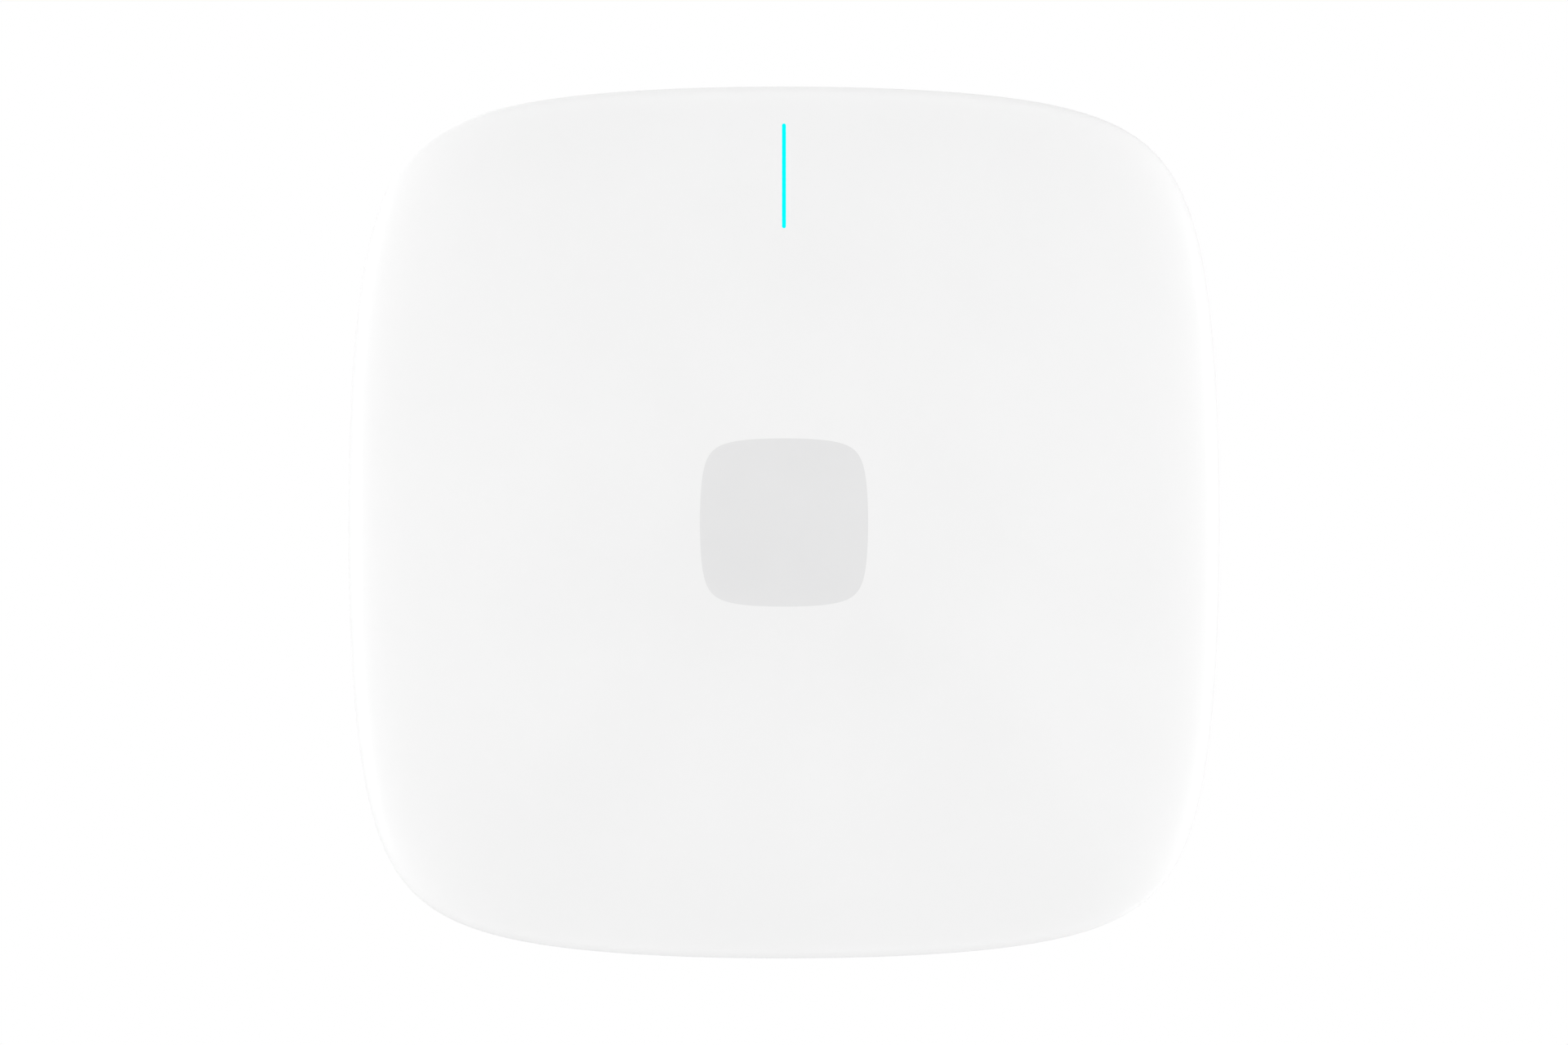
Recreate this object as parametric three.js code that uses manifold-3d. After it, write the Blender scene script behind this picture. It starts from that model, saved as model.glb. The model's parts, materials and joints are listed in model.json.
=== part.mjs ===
// Ceiling access point: a domed, square-round radio unit that twists onto a pressed steel mounting plate.
// Millimetres. Z points up, z = 0 is the ceiling, the face looks down (-Z), the light bar is towards -Y
// and the cable bay towards +Y. The plate stays still; everything else hangs from it on four studs.
import * as THREE from "three";
import { mergeVertices } from "three/addons/utils/BufferGeometryUtils.js";
import Module from "manifold-3d";

const wasm = await Module();
wasm.setup();

// ---------------------------------------------------------------- driving dimensions
const WIDTH = 215;
const HALF = WIDTH / 2;
const HEIGHT = 46;
const SQUARENESS = 0.8525; // outline x² + y² - SQUARENESS x²y² = 1: 0 is a circle, 1 a square
const OUTLINE_STEPS = 56;
const WIDE_SIDES = 40; // sides of the plate, recess and heat sink circles
const GAP = 0.3; // clearance between neighbours
const PAST = 1; // how far a cutter runs past the face it opens

// Height levels of the stack, from the ceiling down.
const PLATE_SHEET = 1.2;
const BACK_Z = -2.2; // flat back of the rear housing
const RECESS_Z = -8; // floor of the recess that takes the mounting plate
const PART_Z = -24; // parting line between rear housing and front cover
const EQUATOR_Z = -28; // widest outline
const WALL = 2.3;

// Front cover: a parabolic crown that rolls over a shoulder, a superellipse of this power, into the sides.
const CROWN = 11;
const SHOULDER_POWER = 16;
const CROWN_SCALES = [0.35, 0.65];
const SHOULDER_STEPS = 6;

// Rear housing: bowl that narrows from the parting line to the back.
const HOUSING_RIM = 0.975;
const HOUSING_BACK = 0.82;
const HOUSING_POWER = 2.2;
const HOUSING_STEPS = 4;
const LIP_OUTER = 0.952;
const LIP_INNER = 0.935;
const LIP_DEPTH = 3.5;

// Round recess, cable bay and the slot for the latch tooth.
const RECESS_RADIUS = 76;
const FLOOR_SHEET = 2.2;
const BAY_HALF = 46;
const BAY_FRONT_Y = 54;
const BAY_FLOOR_Z = -22.5;
const NOTCH_HALF = 18;
const NOTCH_Z = -19;

// Twist mount.
const TWIST_DEG = 15;
const STUD_RADIUS = 54; // distance of the studs from the middle
const STUD_ANGLES = [27, 137, 207, 317];
const STUD_SHANK = 4;
const STUD_HEAD = 9;
const STUD_SHOULDER = 10;

// Mounting plate.
const PLATE_RADIUS = 72;
const PLATE_FLAT_Y = 50;
const PLATE_RIM = 2.6;
const PAD_DROP = 5.2;
const CHANNEL_HALF = 13.5; // takes a 24 mm ceiling rail
const CHANNEL_DEPTH = 2.8;
const HOOK_REACH = 8.5;
const JAW_INNER_X = 8;
const JAW_WIDTH = 18;
const JAW_TRAVEL = 9;
const JAW_LENGTH = 25.5;

// Lock latch: a leaf spring riveted under the plate, with a tooth and a thumb tab.
const LATCH_PIVOT_Y = 22;
const LATCH_SHEET = 0.8;
const LATCH_HALF = 4;
const LATCH_LOW_Z = -4.6;
const TOOTH_RADIUS = 48;
const TOOTH_TIP_Z = -9.3;

// Light bar.
const BAR_WIDTH = 0.91;
const BAR_LENGTH = 25.9;
const BAR_Y = -84.9;
const BAR_SLOT_GAP = 0.15;
const PIPE_BACK_Z = -31.6;

// Heat sink, boards and screws.
const SINK_RADIUS = 69;
const SINK_FLAT_Y = 43;
const SINK_FLANGE = 73;
const SINK_FLANGE_Y = 36;
const BOARD_BACK_Z = -24;
const BOARD_SHEET = 1.6;
const BOARD_HALF_X = 72;
const BOARD_Y = [-62, 51.2];
const COVER_SCREW_AT = 66;
const BOARD_SCREWS = [[-50, -45], [50, -45], [-50, 22], [50, 22]];
const TRAY_Z = -27.9;
const TRAY_SHEET = 1.5;
const TRAY_SCALE = 0.78;

// Connectors in the bay, by the x of their middle.
const CONNECTOR_FACE_Y = BAY_FRONT_Y + GAP;
const JACK_X = [-34, -14];
const JACK_WIDTH = 16;
const JACK_TOP_Z = -10.6;
const JACK_BACK_Y = 38;
const PLUG_HALF = 5.9;
const PLUG_Z = [-22.2, -14.3];
const USB_X = 6.5;
const RESET_X = 17;
const POWER_X = 29;
const PORT_Z = -18; // height of the small ports' middles

// ---------------------------------------------------------------- materials
function material(color, roughness, metalness) {
  return new THREE.MeshStandardMaterial({ color, roughness, metalness });
}
const COVER_WHITE = material(0xf4f4f4, 0.45, 0);
const HOUSING_WHITE = material(0xe9eaea, 0.55, 0);
const LIGHT = new THREE.MeshStandardMaterial({ color: 0x05ffff, emissive: 0x05ffff, roughness: 0.3 });
const PLATE_STEEL = material(0xb9bcbe, 0.4, 1);
const SPRING_STEEL = material(0x9a9ea2, 0.3, 1);
const SCREW_STEEL = material(0x8d9094, 0.35, 1);
const CAST_ALUMINIUM = material(0xa9abad, 0.6, 1);
const TIN_PLATE = material(0xc9ccce, 0.35, 1);
const BOARD_GREEN = material(0x1d5a3a, 0.5, 0);
const CHIP_BLACK = material(0x1b1c1e, 0.6, 0);
const PORT_BLACK = material(0x161616, 0.5, 0);
const GOLD = material(0xd2a84a, 0.25, 1);
const RUBBER = material(0x5b5d60, 0.9, 0);
const SILICONE = material(0x8fa3b5, 0.8, 0);
const TRAY_GREY = material(0xcfd1d2, 0.6, 0);
const LED_WHITE = material(0xf2f0d8, 0.4, 0);

// ---------------------------------------------------------------- solids
function solid(geometry) {
  const bare = geometry.clone();
  bare.deleteAttribute("normal");
  bare.deleteAttribute("uv");
  const merged = mergeVertices(bare, 1e-4);
  const vertProperties = Float32Array.from(merged.attributes.position.array);
  const triVerts = Uint32Array.from(merged.index.array);
  return new wasm.Manifold(new wasm.Mesh({ numProp: 3, vertProperties, triVerts }));
}

function geometryOf(body) {
  const mesh = body.getMesh();
  const geometry = new THREE.BufferGeometry();
  geometry.setAttribute("position", new THREE.BufferAttribute(mesh.vertProperties, 3));
  geometry.setIndex(new THREE.BufferAttribute(mesh.triVerts, 1));
  geometry.computeVertexNormals();
  return geometry;
}

function join(bodies) {
  return bodies.reduce((whole, body) => whole.add(body));
}

function cut(body, cutters) {
  return cutters.reduce((rest, cutter) => rest.subtract(cutter), body);
}

function box([x0, x1], [y0, y1], [z0, z1]) {
  const geometry = new THREE.BoxGeometry(x1 - x0, y1 - y0, z1 - z0);
  return solid(geometry.translate((x0 + x1) / 2, (y0 + y1) / 2, (z0 + z1) / 2));
}

// Round column along Z between two heights.
function column(radius, [z0, z1], x = 0, y = 0, sides = 12) {
  const geometry = new THREE.CylinderGeometry(radius, radius, z1 - z0, sides);
  return solid(geometry.rotateX(Math.PI / 2).translate(x, y, (z0 + z1) / 2));
}

// Round bar along Y between two depths.
function barY(radius, [y0, y1], x, z, sides = 12) {
  const geometry = new THREE.CylinderGeometry(radius, radius, y1 - y0, sides);
  return solid(geometry.translate(x, (y0 + y1) / 2, z));
}

// Flat shape in X and Y, raised between two heights.
function prism(shape, [z0, z1], curveSegments = 4) {
  const geometry = new THREE.ExtrudeGeometry(shape, { depth: z1 - z0, bevelEnabled: false, curveSegments });
  return solid(geometry.translate(0, 0, z0));
}

// Flat outline of [y, z] points, carried along X.
function prismX(points, [x0, x1]) {
  const shape = new THREE.Shape(points.map(([y, z]) => new THREE.Vector2(y, z)));
  const geometry = new THREE.ExtrudeGeometry(shape, { depth: x1 - x0, bevelEnabled: false });
  const turn = new THREE.Matrix4().makeBasis(
    new THREE.Vector3(0, 1, 0),
    new THREE.Vector3(0, 0, 1),
    new THREE.Vector3(1, 0, 0),
  );
  return solid(geometry.applyMatrix4(turn).translate(x0, 0, 0));
}

// Turned piece along Z from [radius, z] points that start and end on the axis, lowest first.
function turned(points, sides = 14) {
  const profile = points.map(([radius, z]) => new THREE.Vector2(radius, z));
  return solid(new THREE.LatheGeometry(profile, sides).rotateX(Math.PI / 2));
}

// Radius of the square-round outline in one direction, 1 where it crosses the axes.
function outlineRadius(angle) {
  const q = SQUARENESS * (Math.cos(angle) * Math.sin(angle)) ** 2;
  return q < 1e-9 ? 1 : Math.sqrt((1 - Math.sqrt(1 - 4 * q)) / (2 * q));
}

// Square-round body from [scale, z] levels, lowest first. A scale of 0 is a pole.
function loft(levels) {
  const positions = [];
  const rows = levels.map(([scale, z]) => {
    const first = positions.length / 3;
    const count = scale === 0 ? 1 : OUTLINE_STEPS;
    for (let i = 0; i < count; i += 1) {
      const angle = (2 * Math.PI * i) / OUTLINE_STEPS;
      const radius = scale * HALF * outlineRadius(angle);
      positions.push(radius * Math.cos(angle), radius * Math.sin(angle), z);
    }
    return (i) => first + (i % count);
  });
  const index = [];
  for (let level = 0; level + 1 < rows.length; level += 1) {
    const [low, high] = [rows[level], rows[level + 1]];
    for (let i = 0; i < OUTLINE_STEPS; i += 1) {
      if (low(i) !== low(i + 1)) index.push(low(i), low(i + 1), high(i + 1));
      if (high(i) !== high(i + 1)) index.push(low(i), high(i + 1), high(i));
    }
  }
  const geometry = new THREE.BufferGeometry();
  geometry.setAttribute("position", new THREE.Float32BufferAttribute(positions, 3));
  geometry.setIndex(index);
  return solid(geometry);
}

// Flat square-round slab.
function slab(scale, [z0, z1]) {
  return loft([[0, z0], [scale, z0], [scale, z1], [0, z1]]);
}

const radians = (degrees) => (degrees * Math.PI) / 180;

// Ring sector between two radii and two angles in degrees.
function sector([inner, outer], [from, to]) {
  const shape = new THREE.Shape();
  shape.absarc(0, 0, outer, radians(from), radians(to), false);
  shape.absarc(0, 0, inner, radians(to), radians(from), true);
  return shape;
}

// Slot of one width along an arc, with round ends.
function arcSlot(radius, width, [from, to]) {
  const half = width / 2;
  const start = [radius * Math.cos(radians(from)), radius * Math.sin(radians(from))];
  const end = [radius * Math.cos(radians(to)), radius * Math.sin(radians(to))];
  const shape = new THREE.Shape();
  shape.absarc(0, 0, radius + half, radians(from), radians(to), false);
  shape.absarc(end[0], end[1], half, radians(to), radians(to + 180), false);
  shape.absarc(0, 0, radius - half, radians(to), radians(from), true);
  shape.absarc(start[0], start[1], half, radians(from + 180), radians(from + 360), false);
  return shape;
}

// Straight slot along Y with round ends.
function roundSlot(width, length, x, y) {
  const half = width / 2;
  const reach = length / 2 - half;
  const shape = new THREE.Shape();
  shape.absarc(x, y + reach, half, 0, Math.PI, false);
  shape.absarc(x, y - reach, half, Math.PI, 2 * Math.PI, false);
  return shape;
}

// ---------------------------------------------------------------- scene graph
const product = new THREE.Group();
const bracket = new THREE.Group();
const accessPoint = new THREE.Group();
product.add(bracket, accessPoint);

function piece(group, name, body, look, position = [0, 0, 0]) {
  const mesh = new THREE.Mesh(geometryOf(body), look);
  mesh.name = name;
  mesh.position.set(...position);
  group.add(mesh);
}

// ---------------------------------------------------------------- front cover and light bar
function corners(reach) {
  return [[-reach, -reach], [reach, -reach], [-reach, reach], [reach, reach]];
}

// Section of the dome, apex first: the crown rises with the square of the outline's scale and the
// shoulder adds a superellipse, whose scale is sin^(2/power) where its depth is cos of the same angle.
function domeLevels(scale, depth, steps) {
  const shoulder = depth - CROWN;
  const height = (t) => {
    const rollOver = 1 - Math.sqrt(1 - t ** SHOULDER_POWER);
    return EQUATOR_Z - depth + CROWN * t ** 2 + shoulder * rollOver;
  };
  const levels = [0, ...CROWN_SCALES].map((t) => [scale * t, height(t)]);
  for (let i = 1; i < steps; i += 1) {
    const t = Math.sin((i / steps) * (Math.PI / 2)) ** (2 / SHOULDER_POWER);
    levels.push([scale * t, height(t)]);
  }
  levels.push([scale, EQUATOR_Z]);
  return levels;
}

function coverOuter() {
  const top = PART_Z - GAP;
  const rim = [[1, EQUATOR_Z + 1.4], [0.993, top - 0.8], [0.982, top], [0, top]];
  return loft([...domeLevels(1, HEIGHT + EQUATOR_Z, SHOULDER_STEPS), ...rim]);
}

function frontCover() {
  const outer = coverOuter();
  const inside = (HALF - WALL) / HALF;
  const rim = [[inside * 0.983, PART_Z - GAP], [inside * 0.983, PART_Z + PAST], [0, PART_Z + PAST]];
  const inner = loft([...domeLevels(inside, HEIGHT + EQUATOR_Z - WALL, SHOULDER_STEPS - 1), ...rim]);
  const bosses = [];
  const pilots = [];
  for (const [x, y] of corners(COVER_SCREW_AT)) {
    bosses.push(column(4, [-HEIGHT, PART_Z - GAP], x, y).intersect(outer));
    pilots.push(column(1.6, [-36, PART_Z], x, y, 10));
  }
  const grow = 2 * BAR_SLOT_GAP;
  const slot = prism(roundSlot(BAR_WIDTH + grow, BAR_LENGTH + grow, 0, BAR_Y), [-HEIGHT - PAST, -30]);
  return cut(join([cut(outer, [inner]), ...bosses]), [...pilots, slot]);
}

function lightPipe() {
  const bar = prism(roundSlot(BAR_WIDTH, BAR_LENGTH, 0, BAR_Y), [-HEIGHT, PIPE_BACK_Z]);
  const foot = box([-3, 3], [BAR_Y - 14, BAR_Y + 14], [PIPE_BACK_Z - 1, PIPE_BACK_Z]);
  return bar.intersect(coverOuter()).add(foot);
}

function buildFront() {
  piece(accessPoint, "front_cover", frontCover(), COVER_WHITE);
  piece(accessPoint, "light_pipe", lightPipe(), LIGHT);
  const ledBack = PIPE_BACK_Z + GAP + 1.2;
  for (let i = 0; i < 3; i += 1) {
    const led = box([-1.5, 1.5], [-1.4, 1.4], [-1.2, 0]);
    piece(accessPoint, `status_led_${i + 1}`, led, LED_WHITE, [0, BAR_Y + (i - 1) * 9, ledBack]);
  }
  const board = box([-5, 5], [BAR_Y - 14, BAR_Y + 14], [ledBack + GAP, ledBack + GAP + 1]);
  piece(accessPoint, "status_led_board", board, BOARD_GREEN);
}

// ---------------------------------------------------------------- rear housing
// Scale of the bowl's outer skin at a height: it leaves the rim upright and curls in towards the back.
function bowlScale(z) {
  const t = (z - PART_Z) / (BACK_Z - PART_Z);
  return HOUSING_RIM - (HOUSING_RIM - HOUSING_BACK) * t ** HOUSING_POWER;
}

function bowlLevels(inset, top) {
  const levels = [[0, PART_Z], [HOUSING_RIM - inset, PART_Z]];
  for (let i = 1; i <= HOUSING_STEPS; i += 1) {
    const z = PART_Z + (i / HOUSING_STEPS) * (BACK_Z - PART_Z);
    levels.push([bowlScale(z) - inset, z]);
  }
  levels.push([HOUSING_BACK - inset, top], [0, top]);
  return levels;
}

function portWindows() {
  const windows = JACK_X.map((x) => portWindow(x, JACK_WIDTH / 2, [-23.7, JACK_TOP_Z]));
  windows.push(portWindow(USB_X, 4.7, [PORT_Z - 1.7, PORT_Z + 1.7]));
  windows.push(portWindow(POWER_X, 4.7, [-23.7, -12.7]));
  windows.push(barY(1.7, [50, BAY_FRONT_Y + PAST], RESET_X, PORT_Z));
  return windows;
}

function portWindow(x, half, [low, high]) {
  return box([x - half - GAP, x + half + GAP], [50, CONNECTOR_FACE_Y + GAP], [low - GAP, high + GAP]);
}

function rearHousing() {
  const wall = WALL / HALF + 0.004;
  const outer = loft([...bowlLevels(0, BACK_Z).slice(0, -2), [0, BACK_Z]]);
  const hollow = loft(bowlLevels(wall, PAST));
  const shell = outer.subtract(hollow.intersect(slab(1, [PART_Z - PAST, BACK_Z - WALL])));
  const lip = slab(LIP_OUTER, [PART_Z - LIP_DEPTH, PART_Z + 1]);
  const lipHole = slab(LIP_INNER, [PART_Z - LIP_DEPTH - PAST, PART_Z + 2]);
  const tubBottom = RECESS_Z - FLOOR_SHEET;
  const tub = column(RECESS_RADIUS + WALL, [tubBottom, BACK_Z], 0, 0, WIDE_SIDES);
  const bayOuter = box(
    [-BAY_HALF - WALL, BAY_HALF + WALL],
    [BAY_FRONT_Y - WALL, HALF],
    [BAY_FLOOR_Z - FLOOR_SHEET, BACK_Z],
  );
  const room = outer.add(slab(0.94, [BAY_FLOOR_Z - FLOOR_SHEET, PART_Z + 1]));
  const columns = corners(COVER_SCREW_AT).map(([x, y]) => column(5, [PART_Z, BACK_Z - 1], x, y));
  const body = join([shell, lip.subtract(lipHole), tub.add(bayOuter).intersect(room), ...columns]);
  const bay = box([-BAY_HALF, BAY_HALF], [BAY_FRONT_Y, HALF], [BAY_FLOOR_Z, PAST]).intersect(hollow);
  const sinkRoom = column(SINK_RADIUS + GAP, [tubBottom - PAST, RECESS_Z + PAST], 0, 0, WIDE_SIDES);
  const keepOff = box([-HALF, HALF], [SINK_FLAT_Y + GAP, HALF], [tubBottom - 2, RECESS_Z + 2]);
  const toothHalfAngle = 3;
  const toothSlot = sector(
    [TOOTH_RADIUS - 1.8, TOOTH_RADIUS + 2.6],
    [90 - TWIST_DEG - toothHalfAngle, 90 + toothHalfAngle],
  );
  const screwCuts = corners(COVER_SCREW_AT).flatMap(([x, y]) => [
    column(6.3, [BACK_Z - 1.5, PAST], x, y, 18),
    column(3.3, [BACK_Z - 5.6, PAST], x, y),
    column(1.6, [PART_Z - PAST, PAST], x, y, 10),
  ]);
  return cut(body, [
    column(RECESS_RADIUS, [RECESS_Z, PAST], 0, 0, WIDE_SIDES),
    bay,
    box([-NOTCH_HALF, NOTCH_HALF], [BAY_FRONT_Y + 20, HALF], [NOTCH_Z, PAST]),
    sinkRoom.subtract(keepOff),
    prism(toothSlot, [tubBottom - PAST, RECESS_Z + PAST]),
    ...portWindows(),
    ...screwCuts,
  ]);
}

function buildBack() {
  piece(accessPoint, "rear_housing", rearHousing(), HOUSING_WHITE);
  const screw = turned([[0, -27.5], [1.3, -27.5], [1.3, 0], [3, 0], [3, 2.2], [0, 2.2]], 12);
  const foot = turned([[0, 0], [6, 0], [6, 2.6], [5.2, 3.1], [0, 3.1]], 18);
  corners(COVER_SCREW_AT).forEach(([x, y], i) => {
    piece(accessPoint, `cover_screw_${i + 1}`, screw, SCREW_STEEL, [x, y, BACK_Z - 5.3]);
    piece(accessPoint, `rubber_foot_${i + 1}`, foot, RUBBER, [x, y, BACK_Z - 1.2]);
  });
}

// ---------------------------------------------------------------- heat sink and studs
function onCircle(radius, degrees) {
  return [radius * Math.cos(radians(degrees)), radius * Math.sin(radians(degrees))];
}

function heatSink() {
  const sheet = 2.3;
  const flangeTop = RECESS_Z - FLOOR_SHEET - GAP;
  const plate = column(SINK_RADIUS, [RECESS_Z - sheet, RECESS_Z], 0, 0, WIDE_SIDES);
  const flange = column(SINK_FLANGE, [flangeTop - 2, flangeTop], 0, 0, WIDE_SIDES);
  const middle = column(SINK_RADIUS - 1, [flangeTop - 2, RECESS_Z - 1], 0, 0, WIDE_SIDES);
  const beyond = (y, z) => box([-HALF, HALF], [y, HALF], z);
  const thick = flange.add(middle).subtract(beyond(SINK_FLANGE_Y, [-20, 0]));
  const pedestals = [
    box([-10, 10], [-14, 6], [-20.6, flangeTop]),
    box([-42, -14], [-53, -22], [-20.1, flangeTop]),
    box([14, 42], [-53, -22], [-20.1, flangeTop]),
  ];
  const posts = BOARD_SCREWS.map(([x, y]) => column(4, [BOARD_BACK_Z + GAP, flangeTop], x, y));
  const screwHoles = BOARD_SCREWS.map(([x, y]) => column(1.6, [BOARD_BACK_Z, -14], x, y, 10));
  const studHoles = STUD_ANGLES.map((angle) => {
    const [x, y] = onCircle(STUD_RADIUS, angle);
    return column(1.8, [-10.8, RECESS_Z + PAST], x, y, 12);
  });
  const body = join([plate.subtract(beyond(SINK_FLAT_Y, [-20, 0])), thick, ...pedestals, ...posts]);
  return cut(body, [...screwHoles, ...studHoles]);
}

function buildCooling() {
  piece(accessPoint, "heat_sink", heatSink(), CAST_ALUMINIUM);
  const padLow = -PAD_DROP - GAP - RECESS_Z;
  const padHigh = -PAD_DROP + PLATE_SHEET + GAP - RECESS_Z;
  const body = turned([
    [0, -2], [1.5, -2], [1.5, GAP], [STUD_SHOULDER / 2, GAP], [STUD_SHOULDER / 2, padLow],
    [STUD_SHANK / 2, padLow], [STUD_SHANK / 2, padHigh], [STUD_HEAD / 2, padHigh],
    [STUD_HEAD / 2, padHigh + 1.1], [3.4, padHigh + 1.8], [0, padHigh + 1.8],
  ]);
  STUD_ANGLES.forEach((angle, i) => {
    const place = [...onCircle(STUD_RADIUS, angle), RECESS_Z];
    piece(accessPoint, `mounting_stud_${i + 1}`, body, SCREW_STEEL, place);
  });
}

// ---------------------------------------------------------------- main board
function openCan([x0, x1], [y0, y1], [z0, z1]) {
  const sheet = 0.5;
  const inside = box([x0 + sheet, x1 - sheet], [y0 + sheet, y1 - sheet], [z0 - PAST, z1 - sheet]);
  return box([x0, x1], [y0, y1], [z0, z1]).subtract(inside);
}

function buildBoard() {
  const front = BOARD_BACK_Z - BOARD_SHEET;
  const seat = BOARD_BACK_Z + GAP;
  const holes = BOARD_SCREWS.map(([x, y]) => column(1.7, [front - PAST, 0], x, y, 10));
  const board = box([-BOARD_HALF_X, BOARD_HALF_X], BOARD_Y, [front, BOARD_BACK_Z]);
  piece(accessPoint, "main_board", cut(board, holes), BOARD_GREEN);
  const canZ = [seat, seat + 3];
  piece(accessPoint, "shield_can_1", openCan([-44, -12], [-55, -20], canZ), TIN_PLATE);
  piece(accessPoint, "shield_can_2", openCan([12, 44], [-55, -20], canZ), TIN_PLATE);
  piece(accessPoint, "shield_can_3", openCan([-16, 16], [12, 32], canZ), TIN_PLATE);
  piece(accessPoint, "processor", box([-11, 11], [-15, 7], [seat, seat + 1.5]), CHIP_BLACK);
  piece(accessPoint, "thermal_pad", box([-9, 9], [-13, 5], [seat + 1.8, seat + 2.8]), SILICONE);
  piece(accessPoint, "poe_transformer", box([51, 67], [38, 52], [seat, seat + 8.5]), CHIP_BLACK);
  const screw = turned([[0, -1.7], [2.7, -1.7], [2.7, 0], [1.2, 0], [1.2, 11], [0, 11]], 12);
  BOARD_SCREWS.forEach(([x, y], i) => {
    piece(accessPoint, `board_screw_${i + 1}`, screw, SCREW_STEEL, [x, y, front - GAP]);
  });
}

// ---------------------------------------------------------------- antennas
// Bent sheet antenna: a top strip on a feed leg and a ground leg, standing on the tray.
function antenna(length, height) {
  const sheet = 0.6;
  const strip = 3;
  return join([
    box([-length / 2, length / 2], [-sheet / 2, sheet / 2], [-height, -height + strip]),
    box([-length / 2, -length / 2 + 2], [-sheet / 2, sheet / 2], [-height, 0]),
    box([-length / 2 + 5, -length / 2 + 7], [-sheet / 2, sheet / 2], [-height, 0]),
  ]);
}

function turnedAboutZ(body, degrees) {
  return solid(geometryOf(body).rotateZ(radians(degrees)));
}

function buildAntennas() {
  const trayFront = TRAY_Z - TRAY_SHEET;
  const bossHoles = corners(COVER_SCREW_AT).map(([x, y]) => column(4.5, [-40, 0], x, y));
  const ledRoom = box([-7, 7], [-HALF, BAR_Y + 17], [-40, 0]);
  const tray = cut(slab(TRAY_SCALE, [trayFront, TRAY_Z]), [...bossHoles, ledRoom]);
  piece(accessPoint, "antenna_tray", tray, TRAY_GREY);
  const quarters = [0, 1, 2, 3];
  quarters.forEach((i) => {
    const high = turnedAboutZ(antenna(14, 7), 90 * i);
    const low = turnedAboutZ(antenna(30, 9), 90 * i + 45);
    const highAt = onCircle(44, 90 * i - 90);
    const lowAt = onCircle(70, 90 * i - 45);
    piece(accessPoint, `antenna_5g_${i + 1}`, high, TIN_PLATE, [...highAt, trayFront - GAP]);
    piece(accessPoint, `antenna_2g_${i + 1}`, low, TIN_PLATE, [...lowAt, trayFront - GAP]);
  });
  const scan = box([-11, 11], [-11, 11], [-3, 0]).add(box([-8, 8], [-8, 8], [-4, -3]));
  piece(accessPoint, "scan_antenna", scan, TIN_PLATE, [0, 0, trayFront - GAP]);
}

// ---------------------------------------------------------------- connectors
function ethernetJack(x) {
  const low = BOARD_BACK_Z + GAP;
  const half = JACK_WIDTH / 2;
  const body = box([x - half, x + half], [JACK_BACK_Y, CONNECTOR_FACE_Y], [low, JACK_TOP_Z]);
  const depth = [42, CONNECTOR_FACE_Y + PAST];
  return cut(body, [
    box([x - PLUG_HALF, x + PLUG_HALF], depth, PLUG_Z),
    box([x - 3.2, x + 3.2], depth, [PLUG_Z[1] - PAST, PLUG_Z[1] + 1.4]),
    box([x - 1.6, x + 1.6], depth, [PLUG_Z[1], PLUG_Z[1] + 2.4]),
  ]);
}

// Eight spring wires on a crossbar at the back of the plug's room.
function jackContacts(x) {
  const pitch = 1.02;
  const low = PLUG_Z[0] + 0.4;
  const bar = box([x - 4.4, x + 4.4], [42.4, 43.6], [low, low + 1.6]);
  const wires = [];
  for (let i = 0; i < 8; i += 1) {
    const middle = x + (i - 3.5) * pitch;
    const outline = [[43, low + 0.5], [49, low + 0.1], [49, low + 0.5], [44, low + 1.5], [43, low + 1.5]];
    wires.push(prismX(outline, [middle - 0.2, middle + 0.2]));
  }
  return join([bar, ...wires]);
}

function usbShell() {
  const [half, high] = [4.7, 1.7];
  const body = box([USB_X - half, USB_X + half], [46, CONNECTOR_FACE_Y], [PORT_Z - high, PORT_Z + high]);
  const mouth = box(
    [USB_X - half + 0.35, USB_X + half - 0.35],
    [47.5, CONNECTOR_FACE_Y + PAST],
    [PORT_Z - 1.35, PORT_Z + 1.35],
  );
  const stem = box([USB_X - 3.5, USB_X + 3.5], [46.5, 50.5], [BOARD_BACK_Z + GAP, PORT_Z - high]);
  return body.subtract(mouth).add(stem);
}

function powerJack() {
  const body = box([POWER_X - 4.7, POWER_X + 4.7], [41, CONNECTOR_FACE_Y], [BOARD_BACK_Z + GAP, -12.7]);
  return body.subtract(barY(3.2, [44, CONNECTOR_FACE_Y + PAST], POWER_X, PORT_Z, 20));
}

function buildConnectors() {
  JACK_X.forEach((x, i) => {
    piece(accessPoint, `ethernet_jack_${i + 1}`, ethernetJack(x), TIN_PLATE);
    piece(accessPoint, `jack_contacts_${i + 1}`, jackContacts(x), GOLD);
  });
  piece(accessPoint, "usb_port", usbShell(), TIN_PLATE);
  const tongue = box([USB_X - 3.3, USB_X + 3.3], [47.5 + GAP, 53], [PORT_Z - 0.35, PORT_Z + 0.35]);
  piece(accessPoint, "usb_tongue", tongue, PORT_BLACK);
  piece(accessPoint, "power_jack", powerJack(), PORT_BLACK);
  piece(accessPoint, "power_pin", barY(1.05, [44 + GAP, 52.5], POWER_X, PORT_Z, 12), TIN_PLATE);
  const switchBody = box([RESET_X - 3, RESET_X + 3], [44, 49.2], [BOARD_BACK_Z + GAP, PORT_Z + 3]);
  piece(accessPoint, "reset_switch", switchBody, CHIP_BLACK);
  const plunger = barY(1.3, [50.2, BAY_FRONT_Y - 0.6], RESET_X, PORT_Z);
  const collar = barY(2.3, [50.2, 51.3], RESET_X, PORT_Z);
  piece(accessPoint, "reset_button", plunger.add(collar), PORT_BLACK);
}

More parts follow.
